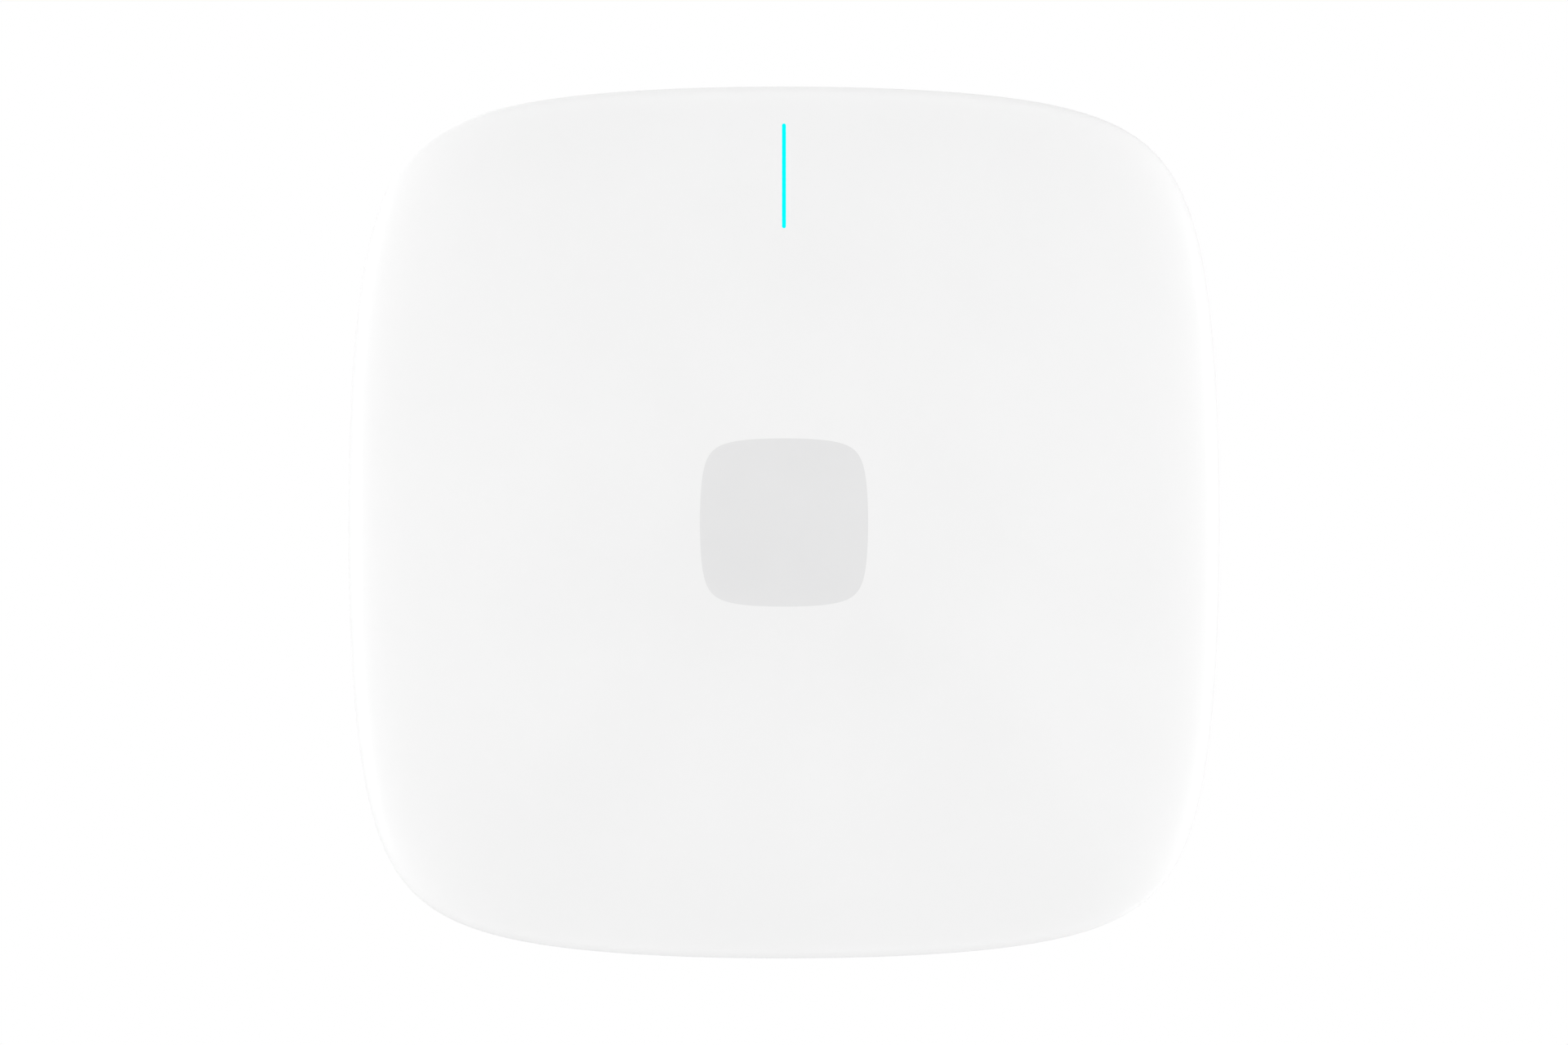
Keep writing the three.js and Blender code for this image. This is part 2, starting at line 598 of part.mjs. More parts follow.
// ---------------------------------------------------------------- mounting plate
// Dished pad under each stud, from just before the stud to past its entry hole.
function padSector(grow) {
  const turnGrow = (grow / STUD_RADIUS) * (180 / Math.PI);
  return (angle) => sector(
    [STUD_RADIUS - 6 - grow, STUD_RADIUS + 6 + grow],
    [angle - 5.4 - turnGrow, angle + TWIST_DEG + 6 + turnGrow],
  );
}

// The jaw on the +X side sits towards +Y, the one on the -X side towards -Y.
function jawBox(side, grow, [y0, y1], z) {
  const xs = [side * (JAW_INNER_X - grow), side * (JAW_INNER_X + JAW_WIDTH + grow)];
  const ys = [side * y0, side * y1];
  return box(xs.sort((a, b) => a - b), ys.sort((a, b) => a - b), z);
}

function keyhole(x, y) {
  return [column(4.25, [-10, PAST], x, y, 14), prism(roundSlot(4.6, 15, x, y + 4.5), [-10, PAST])];
}

function mountingPlate() {
  const sheet = [-PLATE_SHEET, 0];
  const reach = PLATE_RADIUS + PAST;
  const disc = column(PLATE_RADIUS, [-PLATE_RIM, 0], 0, 0, WIDE_SIDES);
  const rimRoom = column(PLATE_RADIUS - PLATE_SHEET, [-PLATE_RIM - PAST, -PLATE_SHEET], 0, 0, WIDE_SIDES);
  const channelZ = -CHANNEL_DEPTH - PLATE_SHEET;
  const channelWall = CHANNEL_HALF + PLATE_SHEET;
  const channelOuter = box([-reach, reach], [-channelWall, channelWall], [channelZ, 0]);
  const channelRoom = box([-reach, reach], [-CHANNEL_HALF, CHANNEL_HALF], [-CHANNEL_DEPTH, PAST]);
  const padOuter = STUD_ANGLES.map((angle) => prism(padSector(PLATE_SHEET)(angle), [-PAD_DROP, 0]));
  const padRoom = STUD_ANGLES.map((angle) => prism(padSector(0)(angle), [-PAD_DROP + PLATE_SHEET, PAST]));
  const jawFloor = -PLATE_SHEET - 0.4;
  const jawEnd = HOOK_REACH + JAW_LENGTH + JAW_TRAVEL + 0.4;
  const jawOuter = [1, -1].map((side) =>
    jawBox(side, 0.4 + PLATE_SHEET, [CHANNEL_HALF, jawEnd + PLATE_SHEET], [jawFloor - PLATE_SHEET, 0]));
  const jawRoom = [1, -1].map((side) => jawBox(side, 0.4, [HOOK_REACH, jawEnd], [jawFloor, PAST]));
  const formed = join([disc.subtract(rimRoom), channelOuter, ...padOuter, ...jawOuter]);
  const hooks = [1, -1].map((side) => {
    const xs = side > 0 ? [-JAW_INNER_X - JAW_WIDTH, -JAW_INNER_X] : [JAW_INNER_X, JAW_INNER_X + JAW_WIDTH];
    const ys = side > 0 ? [HOOK_REACH, channelWall] : [-channelWall, -HOOK_REACH];
    return box(xs, ys, sheet);
  });
  const dished = join([cut(formed, [channelRoom, ...padRoom, ...jawRoom]), ...hooks]);
  const studSlots = STUD_ANGLES.flatMap((angle) => {
    const slot = prism(arcSlot(STUD_RADIUS, STUD_SHANK + 0.6, [angle, angle + TWIST_DEG]), [-10, PAST]);
    return [slot, column(STUD_HEAD / 2 + 0.4, [-10, PAST], ...onCircle(STUD_RADIUS, angle + TWIST_DEG), 16)];
  });
  const jawX = JAW_INNER_X + JAW_WIDTH / 2;
  const jawSlots = [1, -1].map((side) =>
    prism(roundSlot(4.2, JAW_TRAVEL + 4.2, side * jawX, side * (26 + JAW_TRAVEL / 2)), [-10, PAST]));
  const latchWindow = box([-5.5, 5.5], [27, PLATE_FLAT_Y + PAST], [-10, PAST]);
  const rivetHole = column(1.7, [-10, PAST], 0, LATCH_PIVOT_Y, 12);
  const boxSlots = [-41.9, 41.9].map((x) => prism(roundSlot(4.6, 12, x, 0), [-10, PAST]));
  const cableHole = column(10, [-10, PAST], 0, 0, 24);
  const screwHoles = [[-17, 30], [17, -34], [-20, -60], [20, -60]].flatMap(([x, y]) => keyhole(x, y));
  return cut(dished, [
    ...studSlots, ...jawSlots, ...boxSlots, ...screwHoles, cableHole, latchWindow, rivetHole,
    box([-reach, reach], [PLATE_FLAT_Y, reach], [-10, PAST]),
    ringPast(PLATE_RADIUS),
  ]);
}

// Everything outside a radius, to trim pressed shapes that reach the plate's edge.
function ringPast(radius) {
  const far = box([-HALF, HALF], [-HALF, HALF], [-10, PAST]);
  return far.subtract(column(radius, [-10 - PAST, PAST + 1], 0, 0, WIDE_SIDES));
}

function buildBracket() {
  piece(bracket, "mounting_plate", mountingPlate(), PLATE_STEEL);
  const jawX = JAW_INNER_X + JAW_WIDTH / 2;
  const screw = turned([
    [0, -5.2], [3, -5.2], [3.5, -4.7], [3.5, -3.1], [1.7, -3.1], [1.7, -0.5], [0, -0.5],
  ], 12);
  [["right", 1], ["left", -1]].forEach(([hand, side]) => {
    const tongue = jawBox(side, 0, [HOOK_REACH, HOOK_REACH + JAW_LENGTH], [-1.3, -0.1]);
    const hole = column(2, [-3, PAST], side * jawX, side * 26, 12);
    piece(bracket, `rail_jaw_${hand}`, tongue.subtract(hole), SPRING_STEEL);
    piece(bracket, `rail_jaw_screw_${hand}`, screw, SCREW_STEEL, [side * jawX, side * 26, 0]);
  });
  piece(bracket, "lock_latch", lockLatch(), SPRING_STEEL);
  const rivet = turned([
    [0, -3.3], [2.2, -3.3], [2.5, -2.9], [2.5, -2.6], [1.3, -2.6], [1.3, -0.1], [0, -0.1],
  ], 12);
  piece(bracket, "latch_rivet", rivet, SCREW_STEEL, [0, LATCH_PIVOT_Y, 0]);
}

// Leaf from the rivet down to the tooth, then a thumb tab that curls away from the ceiling.
function lockLatch() {
  const [rootLow, low] = [-2.3, LATCH_LOW_Z];
  const high = low + LATCH_SHEET;
  const leaf = prismX([
    [17, rootLow], [24, rootLow], [38, low], [60, low], [63.4, -7], [64.2, -6.5], [60.5, high], [38, high],
    [24, rootLow + LATCH_SHEET], [17, rootLow + LATCH_SHEET],
  ], [-LATCH_HALF, LATCH_HALF]);
  const tab = prismX(
    [[56, low], [60, low], [63.4, -7], [64.2, -6.5], [60.5, high], [56, high]],
    [-LATCH_HALF - 3, LATCH_HALF + 3],
  );
  const [near, far] = [TOOTH_RADIUS - 1.4, TOOTH_RADIUS + 1.4];
  const tooth = prismX(
    [[near, low + 0.2], [near, TOOTH_TIP_Z], [TOOTH_RADIUS, TOOTH_TIP_Z], [far, -8.2], [far, low + 0.2]],
    [-2, 2],
  );
  return cut(join([leaf, tab, tooth]), [column(1.7, [-4, 0], 0, LATCH_PIVOT_Y, 12)]);
}

buildBracket();
buildFront();
buildBack();
buildCooling();
buildBoard();
buildAntennas();
buildConnectors();

export default product;
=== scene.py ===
"""Looks of a ceiling access point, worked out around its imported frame.

The unit hangs face down: z = 0 is the ceiling, the domed face looks along -Z, the light bar is towards -Y
and the cable bay towards +Y. The mounting plate stays still and the unit twists on it.
"""
import json
import math

import bmesh
import bpy
import numpy as np
from bpy.props import FloatProperty, FloatVectorProperty, IntProperty, PointerProperty
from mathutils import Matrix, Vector


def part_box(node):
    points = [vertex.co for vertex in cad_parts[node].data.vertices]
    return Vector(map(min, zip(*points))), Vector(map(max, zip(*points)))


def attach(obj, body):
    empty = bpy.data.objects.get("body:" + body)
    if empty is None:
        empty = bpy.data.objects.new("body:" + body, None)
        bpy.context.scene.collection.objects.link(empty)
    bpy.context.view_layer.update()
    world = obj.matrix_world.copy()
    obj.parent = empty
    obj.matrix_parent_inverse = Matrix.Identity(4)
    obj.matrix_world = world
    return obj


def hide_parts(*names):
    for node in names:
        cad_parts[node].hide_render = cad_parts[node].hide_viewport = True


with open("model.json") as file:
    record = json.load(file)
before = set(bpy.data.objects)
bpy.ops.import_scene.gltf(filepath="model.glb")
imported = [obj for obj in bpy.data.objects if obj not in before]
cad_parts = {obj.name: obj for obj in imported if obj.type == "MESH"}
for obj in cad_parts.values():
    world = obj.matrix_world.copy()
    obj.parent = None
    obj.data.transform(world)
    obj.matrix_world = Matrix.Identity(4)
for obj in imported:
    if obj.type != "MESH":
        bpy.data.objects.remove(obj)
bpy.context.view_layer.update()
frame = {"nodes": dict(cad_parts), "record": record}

bl_info = {
    "name": "Ceiling access point",
    "version": (1, 0, 0),
    "blender": (4, 5, 0),
    "location": "View3D > Sidebar > Access point",
    "description": "Makes the casings, mounting plate, ports and finishes of a ceiling access point",
    "category": "Object",
}

MM = 0.001
COVER_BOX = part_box("front_cover")
HALF = COVER_BOX[1].x
APEX_Z = COVER_BOX[0].z
BACK_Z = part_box("rear_housing")[1].z
PLATE_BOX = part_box("mounting_plate")
PLATE_RADIUS = PLATE_BOX[1].x
PLATE_FLAT_Y = PLATE_BOX[1].y
FAR = 120 * MM
FINISH_OF_SLOT = {
    "cover_plastic": "cover_white", "housing_plastic": "housing_white", "light": "bar_light",
    "plate_steel": "zinc_plate", "spring_steel": "spring_steel", "screw_steel": "nickel",
    "cast_aluminium": "cast_aluminium", "tin_plate": "tinned", "board_green": "circuit_board",
    "chip_black": "epoxy", "port_black": "port_black", "gold": "gold", "rubber_grey": "rubber",
    "silicone": "silicone", "tray_grey": "tray_plastic", "led_lens": "lens_clear",
}


def middle(node):
    """Middle of a CAD node's box, as an array."""
    low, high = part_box(node)
    return (np.array(low) + np.array(high)) / 2


def around(centre, half):
    """Pair of limits at the same distance on both sides of a centre."""
    return (centre - half, centre + half)


def grown(limits, more):
    """Pair of limits moved apart by a distance on each side, or together where it is negative."""
    return (limits[0] - more, limits[1] + more)


def from_mm(points, x=0.0, z=0.0):
    """Profile points given in millimetres from a place, in metres."""
    return [(x + point_x * MM, z + point_z * MM) for point_x, point_z in points]


# ------------------------------------------------------------------ settings a user would change


def length(name, description, value):
    """A length property in metres, given in millimetres."""
    return FloatProperty(
        name=name, description=description, default=value * MM, min=0.0, subtype="DISTANCE", unit="LENGTH"
    )


def colour(name, description, value):
    """A colour property with red, green and blue."""
    return FloatVectorProperty(
        name=name, description=description, default=value, size=3, min=0.0, max=1.0, subtype="COLOR"
    )


class CasingSizes(bpy.types.PropertyGroup):
    """Sizes of the two casings and the light bar."""

    squareness: FloatProperty(
        name="Squareness", description="Outline between a circle (0) and a square (1)",
        default=0.8525, min=0.0, max=0.99, subtype="FACTOR",
    )
    crown: length("Crown", "Rise of the face from its shoulder to its middle", 11)
    equator: length("Widest level", "Distance of the widest outline below the ceiling", 28)
    parting: length("Parting line", "Distance of the parting line below the ceiling", 24)
    wall: length("Wall", "Thickness of the moulded walls", 2.3)
    bar_width: length("Bar width", "Width of the light bar", 0.91)
    bar_length: length("Bar length", "Length of the light bar", 25.9)
    mark_radius: length("Mark size", "Half the width of the printed blank field", 20.5)
    steps: IntProperty(name="Outline steps", description="Points around each outline", default=256, min=32)


class PlateSizes(bpy.types.PropertyGroup):
    """Sizes of the pressed mounting plate."""

    sheet: length("Sheet", "Thickness of the pressed sheet", 1.2)
    rim: length("Rim", "Depth of the turned rim", 2.6)
    pad_drop: length("Pad depth", "How deep the stud pads are pressed", 5.2)
    channel_half: length("Channel half width", "Half the width of the ceiling rail's channel", 13.5)
    channel_depth: length("Channel depth", "Depth of the ceiling rail's channel", 2.8)
    bend: length("Bend radius", "Softness of the pressed bends", 0.7)


class FinishColours(bpy.types.PropertyGroup):
    """Base colours of the finishes."""

    cover: colour("Cover", "White of the front cover", (0.88, 0.88, 0.88))
    housing: colour("Housing", "White of the rear housing", (0.75, 0.755, 0.76))
    mark: colour("Mark", "Grey of the printed field", (0.782, 0.782, 0.785))
    light: colour("Light", "Glow of the light bar", (0.0, 1.0, 1.0))
    zinc: colour("Zinc", "Zinc plating of the pressed plate", (0.62, 0.63, 0.64))
    steel: colour("Steel", "Springs and jaws", (0.46, 0.465, 0.475))
    rubber: colour("Rubber", "Feet", (0.09, 0.092, 0.096))


def sizes():
    return bpy.context.scene.casing_sizes


def plate_sizes():
    return bpy.context.scene.plate_sizes


def colours():
    return bpy.context.scene.finish_colours


# ------------------------------------------------------------------ surfaces as whole arrays


def mesh_object(name, points, faces):
    """Object from an array of points and a list of faces, with doubled points welded and poles closed."""
    mesh = bpy.data.meshes.new(name)
    mesh.from_pydata(points.tolist(), [], faces)
    shape = bmesh.new()
    shape.from_mesh(mesh)
    bmesh.ops.remove_doubles(shape, verts=shape.verts, dist=1e-7)
    bmesh.ops.dissolve_degenerate(shape, edges=shape.edges, dist=1e-7)
    shape.to_mesh(mesh)
    shape.free()
    piece = bpy.data.objects.new(name, mesh)
    bpy.context.scene.collection.objects.link(piece)
    return piece


def lofted(name, loops):
    """Closed skin over loops of equal length: quads between neighbours, one flat face over each end.

    Loops run anticlockwise seen from where the last one lies, so faces point outwards. A loop whose points
    all meet is a pole.
    """
    loops = np.asarray(loops, float)
    rows, columns = loops.shape[:2]
    row = np.arange(rows - 1)[:, None] * columns
    here = np.arange(columns)[None, :]
    after = (here + 1) % columns
    quads = np.stack([row + here, row + after, row + columns + after, row + columns + here], axis=-1)
    faces = quads.reshape(-1, 4).tolist()
    if np.ptp(loops[0], axis=0).max() > 1e-6:
        faces.append(list(range(columns))[::-1])
    if np.ptp(loops[-1], axis=0).max() > 1e-6:
        faces.append(list(range((rows - 1) * columns, rows * columns)))
    return mesh_object(name, loops.reshape(-1, 3), faces)


def raised(outline, z):
    """Flat outline of (x, y) points lifted to a height, as one loop."""
    return np.column_stack([outline, np.full(len(outline), z)])


def turned(name, profile, centre=(0, 0), steps=64):
    """Round piece about a vertical axis: each (radius, height) of the profile is one circle."""
    angle = np.linspace(0, 2 * np.pi, steps, endpoint=False)
    circle = np.column_stack([np.cos(angle), np.sin(angle)])
    return lofted(name, [raised(centre + circle * radius, z) for radius, z in profile])


def rounded_rectangle(half_x, half_y, corner, steps=8, fill=1):
    """Rectangle about the origin with quarter-circle corners, anticlockwise.

    Each straight side is cut into as many parts as fill says.
    """
    corner = min(corner, half_x, half_y)
    quarter = np.linspace(0, np.pi / 2, steps)
    arcs = []
    for turn, (side_x, side_y) in enumerate([(1, 1), (-1, 1), (-1, -1), (1, -1)]):
        angle = quarter + turn * np.pi / 2
        arc = corner * np.column_stack([np.cos(angle), np.sin(angle)])
        arcs.append(arc + [side_x * (half_x - corner), side_y * (half_y - corner)])
    share = np.arange(1, fill)[:, None] / fill
    sides = [start[-1] + (end[0] - start[-1]) * share for start, end in zip(arcs, arcs[1:] + arcs[:1])]
    return np.concatenate([part for pair in zip(arcs, sides) for part in pair])


def rolled_edge(radius, top, bend, steps):
    """Quarter circle over the edge of a round piece, from its wall up to its flat top."""
    turn = np.linspace(0, np.pi / 2, steps)
    return np.column_stack([radius - bend + bend * np.cos(turn), top - bend + bend * np.sin(turn)])


def bent(outline, radius, angle):
    """Outline wrapped round the twist axis: its x runs outwards from the radius, its y along the arc."""
    reach = radius + outline[:, 0]
    turn = angle + outline[:, 1] / radius
    return np.column_stack([reach * np.cos(turn), reach * np.sin(turn)])


def upright(piece, axis):
    """Lays a piece built along Z down along +X or -Y: its x, y become y, z or x, z."""
    points = np.empty(len(piece.data.vertices) * 3)
    piece.data.vertices.foreach_get("co", points)
    x, y, z = points.reshape(-1, 3).T
    moved = np.column_stack([z, x, y] if axis == "X" else [x, -z, y])
    piece.data.vertices.foreach_set("co", moved.ravel())
    return piece


def prism(name, outline, low, high):
    """Straight column over an outline."""
    return lofted(name, [raised(outline, low), raised(outline, high)])


def shaft(name, radius, centre=(0, 0), low=-8 * MM, high=2 * MM, steps=48):
    """Upright cylinder, long enough by default to pierce the plate."""
    return turned(name, [(0, low), (radius, low), (radius, high), (0, high)], centre, steps)


def block(name, x, y, z, corner=0.0):
    """Box between pairs of x, y and z, with rounded upright edges."""
    half = np.array([(x[1] - x[0]) / 2, (y[1] - y[0]) / 2])
    centre = [(x[0] + x[1]) / 2, (y[0] + y[1]) / 2]
    steps = 8 if corner > 0 else 1
    return prism(name, rounded_rectangle(*half, corner, steps) + centre, *z)


def tunnel(name, x, z, y, corner=0.0):
    """Box along Y between pairs of x and z, with rounded long edges."""
    half = np.array([(x[1] - x[0]) / 2, (z[1] - z[0]) / 2])
    centre = [(x[0] + x[1]) / 2, (z[0] + z[1]) / 2]
    steps = 8 if corner > 0 else 1
    return upright(prism(name, rounded_rectangle(*half, corner, steps) + centre, -y[1], -y[0]), "Y")


def round_tunnel(name, radius, centre, y, steps=48):
    """Round hole along Y about an (x, z) centre."""
    circle = rounded_rectangle(radius, radius, radius, steps // 4) + centre
    return upright(prism(name, circle, -y[1], -y[0]), "Y")


def baked(piece):
    """Turns a piece's modifiers into its mesh."""
    graph = bpy.context.evaluated_depsgraph_get()
    shaped = bpy.data.meshes.new_from_object(piece.evaluated_get(graph))
    piece.modifiers.clear()
    old = piece.data
    piece.data = shaped
    bpy.data.meshes.remove(old)
    return piece


def combine(target, others, operation):
    """Joins others to the target, cuts them from it or keeps what they share, and removes them."""
    for other in others:
        step = target.modifiers.new(operation, "BOOLEAN")
        step.operation = operation
        step.solver = "MANIFOLD"
        step.object = other
        baked(target)
        bpy.data.objects.remove(other)
    if not target.data.polygons:
        raise RuntimeError(f"{target.name} lost its surface in a cut")
    return target


def cut(target, others):
    return combine(target, others, "DIFFERENCE")


def join(target, others):
    return combine(target, others, "UNION")


def softened(piece, width, segments=2):
    """Rounds the sharp edges of a piece by a small bevel and bakes it into the mesh."""
    bevel = piece.modifiers.new("edges", "BEVEL")
    bevel.width = width
    bevel.segments = segments
    bevel.limit_method = "ANGLE"
    bevel.angle_limit = math.radians(40)
    bevel.miter_outer = "MITER_ARC"
    return baked(piece)


def complete(piece, body, slot, replaces=(), sharp=32, material=None):
    """Shades a finished piece, gives it its slot's finish or its own, and hands it to its body.

    Normals are weighted by face area, so that a bend's normals don't run across the flat beside it.
    """
    piece.data.shade_smooth()
    piece.data.set_sharp_from_angle(angle=math.radians(sharp))
    even = piece.modifiers.new("even", "WEIGHTED_NORMAL")
    even.weight = 100
    even.keep_sharp = True
    baked(piece)
    piece.data.name = piece.name
    piece.data.materials.clear()
    piece.data.materials.append(bpy.data.materials[material or FINISH_OF_SLOT[slot]])
    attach(piece, body)
    if replaces:
        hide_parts(*replaces)


# ------------------------------------------------------------------ the casings' shared formulas


def square_round(angle):
    """Distance of the outline x² + y² - s x²y² = 1 from its middle in a direction."""
    q = sizes().squareness * (np.cos(angle) * np.sin(angle)) ** 2
    safe = np.maximum(q, 1e-9)
    return np.where(q < 1e-9, 1.0, np.sqrt((1 - np.sqrt(1 - 4 * safe)) / (2 * safe)))


def outline_scale(x, y):
    """Scale of the outline that passes through a point: the inverse of square_round."""
    p = (x**2 + y**2) / HALF**2
    q = sizes().squareness * (x * y) ** 2 / HALF**4
    return np.sqrt((p + np.sqrt(np.maximum(p**2 - 4 * q, 0))) / 2)


def dome_height(scale):
    """Height of the face: a parabola for the crown plus a superellipse of high power for the shoulder."""
    crown = sizes().crown
    shoulder = -sizes().equator - APEX_Z - crown
    t = np.clip(scale, 0, 1)
    return APEX_Z + crown * t**2 + shoulder * (1 - np.sqrt(1 - t**16))


def square_loop(scale, z, steps=None):
    """One square-round loop at a scale and height."""
    angle = np.linspace(0, 2 * np.pi, steps or sizes().steps, endpoint=False)
    reach = scale * HALF * square_round(angle)
    return raised(np.column_stack([reach * np.cos(angle), reach * np.sin(angle)]), z)


def square_loft(name, levels, steps=None):
    """Square-round body from (scale, height) levels, lowest first."""
    return lofted(name, [square_loop(scale, z, steps) for scale, z in levels])


def square_slab(name, scale, low, high):
    """Square-round slab between two heights."""
    return square_loft(name, [[0, low], [scale, low], [scale, high], [0, high]], 128)


def dome_levels(steps=46):
    """Scales from the apex to the widest outline, closer together over the shoulder."""
    crown = np.linspace(0, 0.8, steps // 2, endpoint=False)
    start = math.asin(0.8**8)
    shoulder = np.sin(np.linspace(start, np.pi / 2, steps // 2)) ** (1 / 8)
    scales = np.concatenate([crown, shoulder])
    return np.column_stack([scales, dome_height(scales)])


# ------------------------------------------------------------------ operators: stage


class ACCESSPOINT_OT_stage(bpy.types.Operator):
    """Sets the camera under the face, the pale floor and the soft lights."""

    bl_idname = "accesspoint.stage"
    bl_label = "Camera, floor and lights"

    def execute(self, context):
        scene = context.scene
        scene.view_settings.view_transform = "Standard"
        data = bpy.data.cameras.new("camera")
        data.lens = 135
        view_width = 0.3869  # metres in view across the face's widest level
        camera = bpy.data.objects.new("camera", data)
        distance = view_width * data.lens / data.sensor_width
        camera.location = (0, 0, -sizes().equator - distance)
        camera.rotation_euler = (math.pi, 0, 0)
        scene.collection.objects.link(camera)
        scene.camera = camera
        self.add_world(scene)
        self.add_floor()
        self.add_lights(scene)
        return {"FINISHED"}

    def add_world(self, scene):
        """White behind the object, a softer white for what it lights."""
        world = bpy.data.worlds.new("studio")
        world.use_nodes = True
        tree = world.node_tree
        shade = tree.nodes["Background"]
        path = tree.nodes.new("ShaderNodeLightPath")
        strength = tree.nodes.new("ShaderNodeMapRange")
        strength.inputs["To Min"].default_value = 0.8
        strength.inputs["To Max"].default_value = 1.0
        tree.links.new(path.outputs["Is Camera Ray"], strength.inputs["Value"])
        tree.links.new(strength.outputs["Result"], shade.inputs["Strength"])
        shade.inputs["Color"].default_value = (1, 1, 1, 1)
        scene.world = world

    def add_floor(self):
        """Pale floor far below the ceiling, its far edge swept up: a level disc, then a quarter ellipse."""
        floor_z, level_radius, sweep_reach, sweep_rise, sheet = -2.6, 5, 4, 5, 0.02
        turn = np.linspace(0, np.pi / 2, 20)
        level = np.column_stack([np.linspace(0, level_radius, 8, endpoint=False), np.full(8, floor_z)])
        sweep = np.column_stack([level_radius + sweep_reach * np.sin(turn),
                                 floor_z + sweep_rise * (1 - np.cos(turn))])
        over = np.vstack([level, sweep])
        floor = turned("floor", np.vstack([over + [0.0, -sheet], over[::-1]]), steps=96)
        floor.data.shade_smooth()
        floor.data.materials.append(bpy.data.materials["floor"])

    def add_lights(self, scene):
        """A wide lamp below the face, a thin strip level with each side, and two above for the back."""
        lamps = [
            ("face", (0, 0, -1.75), (1.6, 1.6), 12.4),
            ("left", (-1.15, 0, -0.03), (1.2, 0.16), 4.8),
            ("right", (1.15, 0, -0.03), (1.2, 0.16), 4.8),
            ("near", (0, -1.15, -0.03), (1.2, 0.16), 2.1),
            ("far", (0, 1.15, -0.03), (1.2, 0.16), 2.0),
            ("key", (-0.75, -0.9, 1.15), (0.7, 0.7), 4.5),
            ("fill", (0.9, 1.1, 0.9), (0.9, 0.9), 2.2),
        ]
        for name, place, size, power in lamps:
            data = bpy.data.lights.new(name, "AREA")
            data.shape = "ELLIPSE" if size[0] == size[1] else "RECTANGLE"
            data.size, data.size_y = size
            data.energy = power
            lamp = bpy.data.objects.new(name, data)
            lamp.location = place
            lamp.rotation_euler = pointed(place, (0, 0, -0.03))
            lamp.visible_camera = False
            scene.collection.objects.link(lamp)


def pointed(place, target):
    """Rotation that points a lamp at a place towards a target."""
    return (Vector(target) - Vector(place)).to_track_quat("-Z", "Y").to_euler()


# ------------------------------------------------------------------ operators: casings


class ACCESSPOINT_OT_cover(bpy.types.Operator):
    """Makes the domed front cover, its light bar and the printed blank field."""

    bl_idname = "accesspoint.cover"
    bl_label = "Front cover"

    slot_gap = 0.04 * MM

    def execute(self, context):
        s = sizes()
        self.bar_y = middle("light_pipe")[1]
        cover = self.shell(s)
        slot_outline = self.bar_outline(s, self.slot_gap)
        cut(cover, [prism("slot", slot_outline, APEX_Z - MM, -s.equator - 2 * MM)])
        complete(cover, "access_point", "cover_plastic", ["front_cover"], sharp=40)
        bar = self.light_bar(s)
        complete(bar, "access_point", "light", ["light_pipe"], sharp=50)
        mark = self.printed_field(s)
        complete(mark, "access_point", "cover_plastic", sharp=60, material="mark_grey")
        return {"FINISHED"}

    def shell(self, s):
        """Outer dome, a quarter round over the rim, then the inner dome back to its own apex."""
        outer = dome_levels()
        rim_top = -s.parting - 0.3 * MM
        turn = np.linspace(0.08, 1, 10)[:, None] * np.pi / 2
        drop = -s.equator + 0.8 * MM
        rim = np.hstack([1 - 0.018 * (1 - np.cos(turn)), drop + (rim_top - drop) * np.sin(turn)])
        inside = 1 - s.wall / HALF
        lip = [[inside * 0.984, rim_top], [inside * 0.984, -s.parting - 1.5 * MM], [inside, -s.equator]]
        scales = outer[::-1, 0]
        inner = np.column_stack([inside * scales, np.minimum(outer[::-1, 1] + s.wall, -s.equator)])
        return square_loft("front_cover_skin", np.vstack([outer, rim, lip, inner[1:]]))

    def bar_outline(self, s, grow=0.0):
        """Straight bar with round ends, along Y."""
        half = s.bar_width / 2 + grow
        return rounded_rectangle(half, s.bar_length / 2 + grow, half, 9, 40) + [0, self.bar_y]

    def light_bar(self, s):
        """Blade through the slot: its face follows the dome and sinks a little towards its edge."""
        outline = self.bar_outline(s)
        reach = s.bar_length / 2 - s.bar_width / 2
        spine_y = np.clip(outline[:, 1] - self.bar_y, -reach, reach) + self.bar_y
        spine = np.column_stack([np.zeros(len(outline)), spine_y])
        loops = []
        for share in np.linspace(0, 1, 5):
            ring = spine + (outline - spine) * share
            sink = (0.02 + 0.08 * share**4) * MM
            loops.append(np.column_stack([ring, dome_height(outline_scale(*ring.T)) + sink]))
        loops.append(raised(outline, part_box("light_pipe")[1].z))
        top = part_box("light_pipe")[1].z
        foot = block("foot", around(0, 3 * MM), around(self.bar_y, 14 * MM), (top - MM, top + 0.001 * MM),
                     0.5 * MM)
        return join(lofted("light_bar", loops), [foot])

    def printed_field(self, s):
        """Thin ink skin in the cover's own outline: a dome offset outwards, closed over its back."""
        scale = s.mark_radius / HALF
        shares = np.linspace(0, 1, 18)
        front = []
        for share in shares:
            loop = square_loop(scale * share, 0, 128)
            front.append(self.ink(loop, 0.035 * MM * (1 - share**24)))
        back = [self.ink(square_loop(scale * share, 0, 128), -0.03 * MM) for share in shares[::-1]]
        return lofted("printed_field", front + back)

    def ink(self, loop, proud):
        """Loop laid on the dome, standing proud of it along -Z."""
        height = dome_height(outline_scale(loop[:, 0], loop[:, 1])) - proud
        return np.column_stack([loop[:, :2], height])


